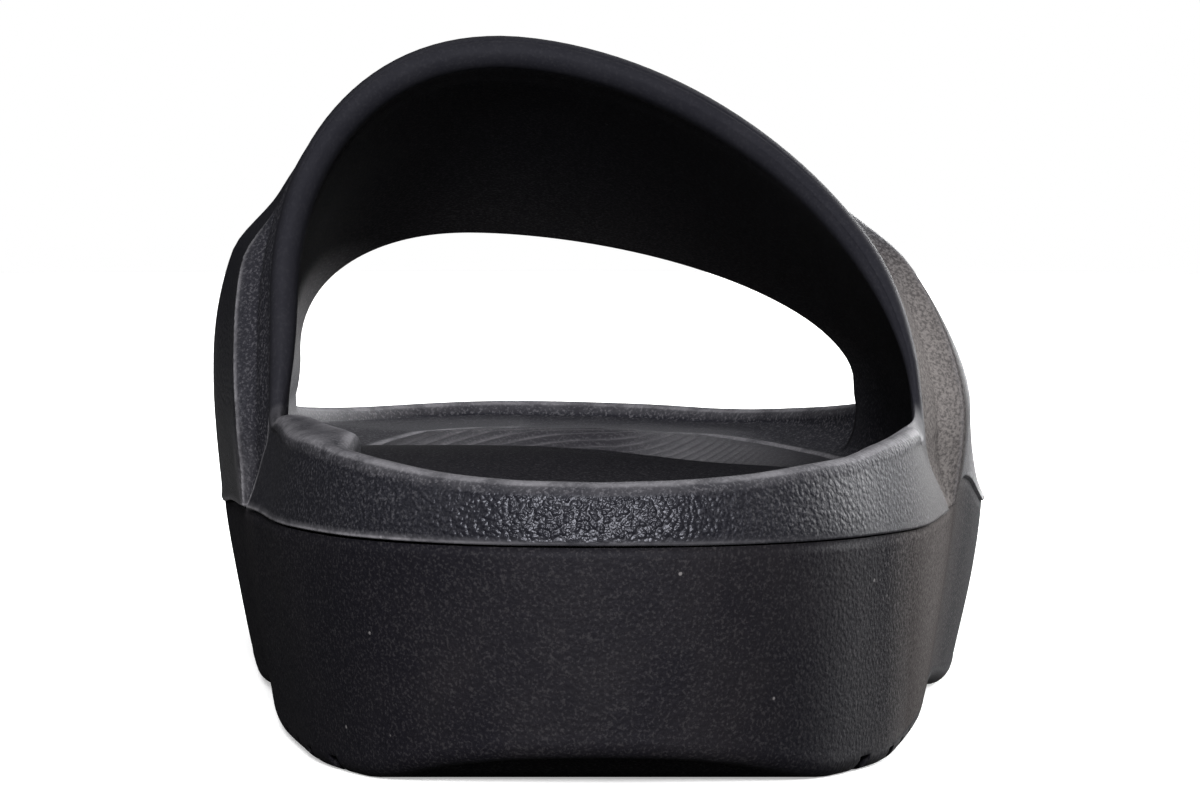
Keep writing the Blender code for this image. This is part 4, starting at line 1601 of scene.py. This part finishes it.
@dataclass
class InsoleBed:
    """The footbed's insert, with a rounded edge and moulded ribs over the forefoot, their crests painted
    paler as a highlight.
    """

    last: Last
    finish: Foam
    shift: Vector
    edge_round: float = 0.0012
    end_rows: int = 6
    tip_rows: int = 16
    evenness: float = 0.65
    rows: int = 520
    across: int = 110
    under: int = 4
    rib_pitch: float = 0.0044
    rib_depth: float = 0.125
    rib_bends: tuple[float, float] = (25.0, 60.0)
    rib_start: tuple[float, float] = (-0.012, 0.006)
    rib_end: tuple[float, float] = (0.022, 0.036)
    rib_wear: float = 700.0
    rib_edge: tuple[float, float] = (0.001, 0.006)
    bed_swell: tuple[float, float] = (0.02, 0.00015)
    least_tooth: float = 0.5
    tooth_along: tuple[float, float] = (0.02, -0.02)
    crowd: float = 0.25

    def ribs(self, point: Vector) -> float:
        """Height of the ribs, which bend back on the inner side of the foot and ahead on the outer.

        Args:
            point: place on the plate, on the centred shoe.

        Returns:
            The height.
        """
        inner, outer = self.rib_bends
        along = point.y + inner * min(0.0, point.x) ** 2 - outer * max(0.0, point.x) ** 2
        slope = 2.0 * (inner * min(0.0, point.x) - outer * max(0.0, point.x))
        pitch = self.rib_pitch / math.hypot(1.0, slope)
        wave = math.cos(2.0 * math.pi * along / self.rib_pitch)
        fade = ramp(point.y, *self.rib_start) * (1.0 - ramp(point.x, *self.rib_end))
        return self.rib_depth * pitch * wave * fade

    def spread(self, share: float) -> float:
        """Places across the plate, closer together at its edges."""
        off = 0.5 - share
        return 0.5 - 0.5 * math.sin(math.pi * off) * self.crowd - (1.0 - self.crowd) * off

    def edge_points(self) -> list[Edge]:
        """The plate's edge in plan, with close points at the heel and the toe.

        Returns:
            Points of the loop, each with its place along the shoe.
        """
        half, tip = self.rows, self.tip_rows
        alongs = [0.5 - 0.5 * math.cos(math.pi * step / half) for step in range(half + 1)]
        uneven = 1.0 - self.evenness
        alongs = [uneven * along + self.evenness * step / half for step, along in enumerate(alongs)]
        ends = [alongs[tip] * (1.0 - math.cos(math.pi / 2 * k / tip)) for k in range(tip)]
        alongs = ends + alongs[tip:-tip] + [1.0 - end for end in ends[::-1]]
        inner, outer = ([Column(self.last, side, along, along) for along in alongs] for side in Side)
        columns = turn_inward(inner + outer[-2:0:-1])
        edge = [column.foot + column.inward * (column.margin + self.last.gap) for column in columns]
        return [(flat, column.along) for flat, column in zip(edge, columns)]

    def tip(self, end: Edge, drop: float) -> Row:
        """The plate's one point at the heel or the toe, on its top or a drop under it."""
        z = self.last.bed_height(end[1], -1.0) - drop - (self.edge_round if not drop else 0.0)
        return [Vector((*end[0], z))], [Skin(speckle=1.0, wear=0.2)]

    def cross_row(self, left: Edge, right: Edge, end: float, drop: float) -> Row:
        """One row across the plate.

        Args:
            left: point of the edge on the inner side of the foot.
            right: point of the edge on the outer side.
            end: how far the row is from the plate's end, where 1 is past its round edge.
            drop: how far the row is under the plate's top.

        Returns:
            The row's points and their skins.
        """
        wide = (right[0] - left[0]).length
        across = self.under if drop else self.across
        points, skins = [], []
        for index in range(across + 1):
            share = self.spread(index / across)
            flat = left[0].lerp(right[0], share)
            along = left[1] + (right[1] - left[1]) * share
            point = Vector((flat.x, flat.y, self.last.bed_height(along, 2.0 * share - 1.0) - drop))
            skin = Skin(speckle=1.0)
            if not drop:
                from_edge = min(share, 1.0 - share) * wide
                sunk = max(0.0, 1.0 - min(from_edge / self.edge_round, end))
                point.z -= self.edge_round * (1.0 - math.sqrt(max(0.0, 1.0 - sunk * sunk)))
                wave = self.ribs(point + self.shift) * ramp(from_edge, *self.rib_edge)
                rough = self.least_tooth + (1.0 - self.least_tooth) * ramp(point.y, *self.tooth_along)
                # Rib crests painted paler: a painted highlight
                worn = max(0.0, wave) * self.rib_wear
                skin = Skin(wave + swell(point, *self.bed_swell), speckle=rough, wear=worn)
            points.append(point)
            skins.append(skin)
        return points, skins

    def build(self) -> bpy.types.Object:
        """Loft the plate.

        Returns:
            The finished object.
        """
        draft = Draft()
        loop = self.edge_points()
        count = len(loop) // 2
        sheets = {0.0: [], self.last.insole_thickness: []}
        for station in range(count + 1):
            left, right = loop[station % len(loop)], loop[-station % len(loop)]
            end = min(station, count - station) / self.end_rows
            for drop, rows in sheets.items():
                if end:
                    rows.append(draft.row(*self.cross_row(left, right, end, drop)))
                else:
                    many = self.under if drop else self.across
                    rows.append(draft.row(*self.tip(left, drop)) * (many + 1))
        for rows in sheets.values():
            draft.sheet(rows)
        draft.strip(*(rim_of(rows) for rows in sheets.values()), closed=True)
        piece = draft.finish("ribbed_insole", self.shift)
        dress(piece, self.finish, "insole")
        return piece


@dataclass
class SoleUnit:
    """The lower moulding: tapered side, toe spring, arch, heel and the cross grooves under it."""

    last: Last
    finish: Foam
    shift: Vector
    seam_inset: float = 0.0005
    side_taper: float = 0.0042
    floor_round: float = 0.0030
    groove_depth: float = 0.0022
    groove_width: float = 0.0034
    groove_pitch: float = 0.0125
    groove_wall: float = 0.0004
    side_rows: int = 18
    round_rows: int = 7
    across: int = 34
    stations: int = 150
    side_power: float = 1.3
    side_swell: tuple[float, float] = (0.03, 0.0002)
    grain: float = 0.25
    tooth: float = 0.35
    chalk: float = 1.45
    inner_tooth: float = 0.4
    inner_reach: tuple[float, float] = (0.040, 0.050)
    end_reach: float = 0.012
    end_stations: int = 12
    least_step: float = 0.0007

    def grooves(self) -> list[float]:
        """Places of the cross grooves, spaced evenly about the middle of each tread.

        Returns:
            The places along the shoe.
        """
        pitch = self.groove_pitch / self.last.length
        places = []
        for start, end in TREADS:
            count = max(1, int((end - start) * self.last.length / self.groove_pitch))
            places += [(start + end) / 2 + (index - (count - 1) / 2) * pitch for index in range(count)]
        return places

    def ground(self, along: float) -> float:
        """Height of the underside, grooves included.

        Args:
            along: place along the shoe.

        Returns:
            The height over the floor.
        """
        lift = 0.0
        for place in self.grooves():
            off = abs(along - place) * self.last.length - self.groove_width / 2
            share = min(1.0, max(0.0, 0.5 - off / self.groove_wall))
            if share:
                top = self.last.floor_height(place) + self.groove_depth
                lift = max(lift, share * (top - self.last.floor_height(along)))
        return self.last.floor_height(along) + lift

    def alongs(self) -> list[float]:
        """Places of the cross sections, with close ones at both walls of each groove.

        Returns:
            The places along the shoe, from the heel.
        """
        reach, ends = self.end_reach, self.end_stations
        places = [reach * (1.0 - math.cos(math.pi / 2 * k / ends)) for k in range(ends)]
        places += [1.0 - place for place in places]
        places += [reach + (1.0 - 2 * reach) * k / self.stations for k in range(self.stations + 1)]
        walls = [self.groove_width / 2 + off * self.groove_wall for off in (-0.5, 0.0, 0.5)]
        steps = [side * wall / self.last.length for side in (-1, 1) for wall in walls]
        marks = [groove + step for groove in self.grooves() for step in steps]
        kept = [place for place in places if all(abs(place - mark) > self.least_step for mark in marks)]
        return sorted(kept + marks)

    def side_of(self, column: Column) -> Row:
        """Side of the sole on one column, from its round lower edge up to the parting line.

        Args:
            column: the section.

        Returns:
            Its points and their skins.
        """
        low, high = self.ground(column.along), column.parting
        top = self.last.floor_height(column.along) + self.floor_round
        points, skins = [], []
        for row in range(self.round_rows):
            angle = math.pi / 2 * row / self.round_rows
            inset = self.seam_inset + self.side_taper + self.floor_round * (1.0 - math.sin(angle))
            points.append(column.point(inset, max(low, top - self.floor_round * math.cos(angle))))
            skins.append(Skin(pebble=self.grain, speckle=self.tooth))
        for row in range(self.side_rows + 1):
            rise = row / self.side_rows
            inset = self.seam_inset + self.side_taper * (1.0 - rise) ** self.side_power
            point = column.point(inset, top + (high - top) * rise)
            points.append(point)
            lift = swell(point, *self.side_swell) * math.sin(math.pi * rise)
            # Pale chalk round the outer heel: dust, and painted light for the side light
            rough = self.tooth + self.chalk * self.last.dust_at(point)
            rough += self.inner_tooth * ramp(-point.x, *self.inner_reach)
            skins.append(Skin(lift, self.grain, rough))
        return points, skins

    def build(self) -> bpy.types.Object:
        """Loft the sole.

        Returns:
            The finished object.
        """
        draft = Draft()
        alongs = self.alongs()
        sides = [[Column(self.last, side, along, along) for along in alongs] for side in Side]
        columns = turn_inward(sides[0] + sides[1][-2:0:-1])
        walls = [draft.row(*self.side_of(column)) for column in columns]
        draft.sheet(walls, closed=True)
        half = len(columns) // 2
        lows, tops = [], []
        hidden = [Skin(speckle=1.0)] * (self.across + 1)
        drop = self.last.insole_thickness + self.last.gap
        for station in range(half + 1):
            left, right = columns[station], columns[-station % len(columns)]
            if left is right:
                z = self.last.bed_height(left.along, -1.0) - drop
                point = left.point(left.margin, z)
                lows.append([walls[station][0]] * (self.across + 1))
                tops.append(draft.row([point], hidden[:1]) * (self.across + 1))
                continue
            ends = draft.points[walls[station][0]], draft.points[walls[-station][0]]
            under = [ends[0].lerp(ends[1], step / self.across) for step in range(1, self.across)]
            middle = draft.row(under, hidden[: len(under)])
            lows.append([walls[station][0]] + middle + [walls[-station][0]])
            edges = [column.point(column.margin, 0.0) for column in (left, right)]
            points = [edges[0].lerp(edges[1], step / self.across) for step in range(self.across + 1)]
            for step, point in enumerate(points):
                point.z = self.last.bed_height(left.along, 2.0 * (step / self.across) - 1.0) - drop
            tops.append(draft.row(points, hidden))
        for rows in (lows, tops):
            draft.sheet(rows)
        draft.strip([wall[-1] for wall in walls], rim_of(tops), closed=True)
        piece = draft.finish("moulded_sole", self.shift)
        dress(piece, self.finish, "sole")
        return piece


@dataclass(frozen=True)
class Softbox:
    """One soft area light."""

    name: str
    watts: float
    place: tuple[float, float, float]
    size: tuple[float, float]
    colour: Colour = (1.0, 1.0, 1.0)
    aim: tuple[float, float, float] = (0.0, -0.02, 0.04)

    def hang(self) -> None:
        """Put the light into the scene."""
        lamp = bpy.data.lights.new(self.name, "AREA")
        lamp.shape = "RECTANGLE"
        lamp.size, lamp.size_y = self.size
        lamp.energy = self.watts
        lamp.color = self.colour
        holder = bpy.data.objects.new(self.name, lamp)
        holder.location = self.place
        direction = Vector(self.aim) - Vector(self.place)
        holder.rotation_euler = direction.to_track_quat("-Z", "Y").to_euler()
        bpy.context.scene.collection.objects.link(holder)


@dataclass
class Studio:
    """Pale floor, soft light and the camera."""

    camera_x: float
    sensor: float = 36.0
    picture_width: float = 1200.0
    yaw: float = 4.0 / 9300.0
    distance: float = 1.255
    eye: float = 0.126
    pixels: float = 8370.0
    drop: float = 549.0
    floor_radius: float = 1.25
    floor_sides: int = 96
    ambient: float = 0.01
    bounce: float = 0.05
    glow: float = 0.40
    lights: tuple[Softbox, ...] = (
        Softbox("top_light", 56.0, (0.0, 0.25, 2.3), (3.4, 3.4), aim=(0.0, 0.25, 0.0)),
        Softbox("right_light", 36.0, (1.00, 0.70, 0.42), (0.8, 0.7)),
        Softbox("left_light", 3.0, (-1.15, -0.20, 0.50), (0.4, 0.6)),
        Softbox("front_light", 10.0, (0.60, 1.20, 0.36), (0.4, 0.4)),
        Softbox("heel_light", 60.0, (-0.05, -1.7, 0.52), (0.26, 0.22)),
    )

    def build(self) -> None:
        """Set the stage."""
        scene = bpy.context.scene
        scene.view_settings.view_transform = "Standard"
        world = bpy.data.worlds.new("studio")
        scene.world = world
        world.use_nodes = True
        nodes = Nodes(world.node_tree)
        back = world.node_tree.nodes["Background"]
        back.inputs["Color"].default_value = (1.0, 1.0, 1.0, 1.0)
        seen = nodes.add("LightPath").outputs["Is Camera Ray"]
        nodes.feed(back.inputs["Strength"], nodes.band(seen, 0.0, 1.0, self.ambient, 1.0))
        for light in self.lights:
            light.hang()
        self.lay_floor()
        self.set_camera()
        LOG.info("studio: %d lights, floor and camera", len(self.lights))

    def lay_floor(self) -> None:
        """Lay the pale floor, with its faint unevenness in the finish."""
        radius, sides = self.floor_radius, self.floor_sides
        turns = [2.0 * math.pi * step / sides for step in range(sides)]
        rim = [(radius * math.cos(turn), radius * math.sin(turn), 0.0) for turn in turns]
        data = bpy.data.meshes.new("studio_floor")
        data.from_pydata(rim, [], [tuple(range(sides))])
        floor = bpy.data.objects.new("studio_floor", data)
        bpy.context.scene.collection.objects.link(floor)
        paper = bpy.data.materials.new("floor_paper")
        paper.use_nodes = True
        nodes = Nodes(paper.node_tree)
        shader = paper.node_tree.nodes["Principled BSDF"]
        place = nodes.add("TexCoord").outputs["Object"]
        cloud = nodes.add("TexNoise", Vector=place, Scale=6.0, Detail=2.0)
        colour = nodes.blend(cloud.outputs["Fac"], (0.93, 0.93, 0.935), (0.95, 0.95, 0.955))
        seen = nodes.add("LightPath").outputs["Is Camera Ray"]
        colour = nodes.blend(seen, (self.bounce,) * 3, colour)
        nodes.feed(shader.inputs["Base Color"], colour)
        nodes.feed(shader.inputs["Emission Color"], nodes.blend(seen, (0.0,) * 3, (1.0,) * 3))
        shader.inputs["Emission Strength"].default_value = self.glow
        shader.inputs["Roughness"].default_value = 0.9
        shader.inputs["Specular IOR Level"].default_value = 0.2
        data.materials.append(paper)

    def set_camera(self) -> None:
        """Stand the camera where the photograph was taken from, with the whole shoe in the frame."""
        data = bpy.data.cameras.new("camera")
        data.sensor_width = self.sensor
        data.lens = self.pixels / self.picture_width * self.sensor
        data.clip_end = 60.0
        camera = bpy.data.objects.new("camera", data)
        camera.location = (self.camera_x, -self.distance, self.eye)
        pitch = math.pi / 2 - math.atan(self.drop / self.pixels)
        camera.rotation_euler = (pitch, 0.0, self.yaw)
        bpy.context.scene.collection.objects.link(camera)
        bpy.context.scene.camera = camera


UPPER_FOAM = Foam(
    "upper_foam",
    colour=(0.0065, 0.0065, 0.0090),
    deep=(0.0025, 0.0025, 0.0040),
    worn=(0.240, 0.233, 0.250),
    dust=(0.035, 0.033, 0.034),
    roughness=0.33,
    film=0.05,
    specular=0.22,
)
SOLE_FOAM = Foam(
    "sole_foam",
    colour=(0.0045, 0.0042, 0.0060),
    deep=(0.0024, 0.0022, 0.0030),
    worn=(0.210, 0.198, 0.200),
    dust=(0.042, 0.037, 0.035),
    roughness=0.50,
    film=0.10,
    tooth_depth=0.9,
    specular=0.09,
)
INSOLE_FOAM = Foam(
    "insole_foam",
    colour=(0.0085, 0.0080, 0.0100),
    deep=(0.0030, 0.0030, 0.0040),
    worn=(0.200, 0.190, 0.205),
    dust=(0.040, 0.037, 0.039),
    roughness=0.55,
    film=0.08,
    tooth_depth=0.8,
    specular=0.22,
)


def main() -> None:
    """Build the shoe, its finishes and the studio."""
    logging.basicConfig(level=logging.INFO, format="%(name)s: %(message)s")
    last = Last()
    upper = UpperMoulding(last, UPPER_FOAM)
    upper.build()
    InsoleBed(last, INSOLE_FOAM, upper.shift).build()
    SoleUnit(last, SOLE_FOAM, upper.shift).build()
    Studio(camera_x=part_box("upper")[0][0] + CAMERA_ASIDE).build()
    bpy.context.view_layer.update()


if __name__ == "__main__":
    main()
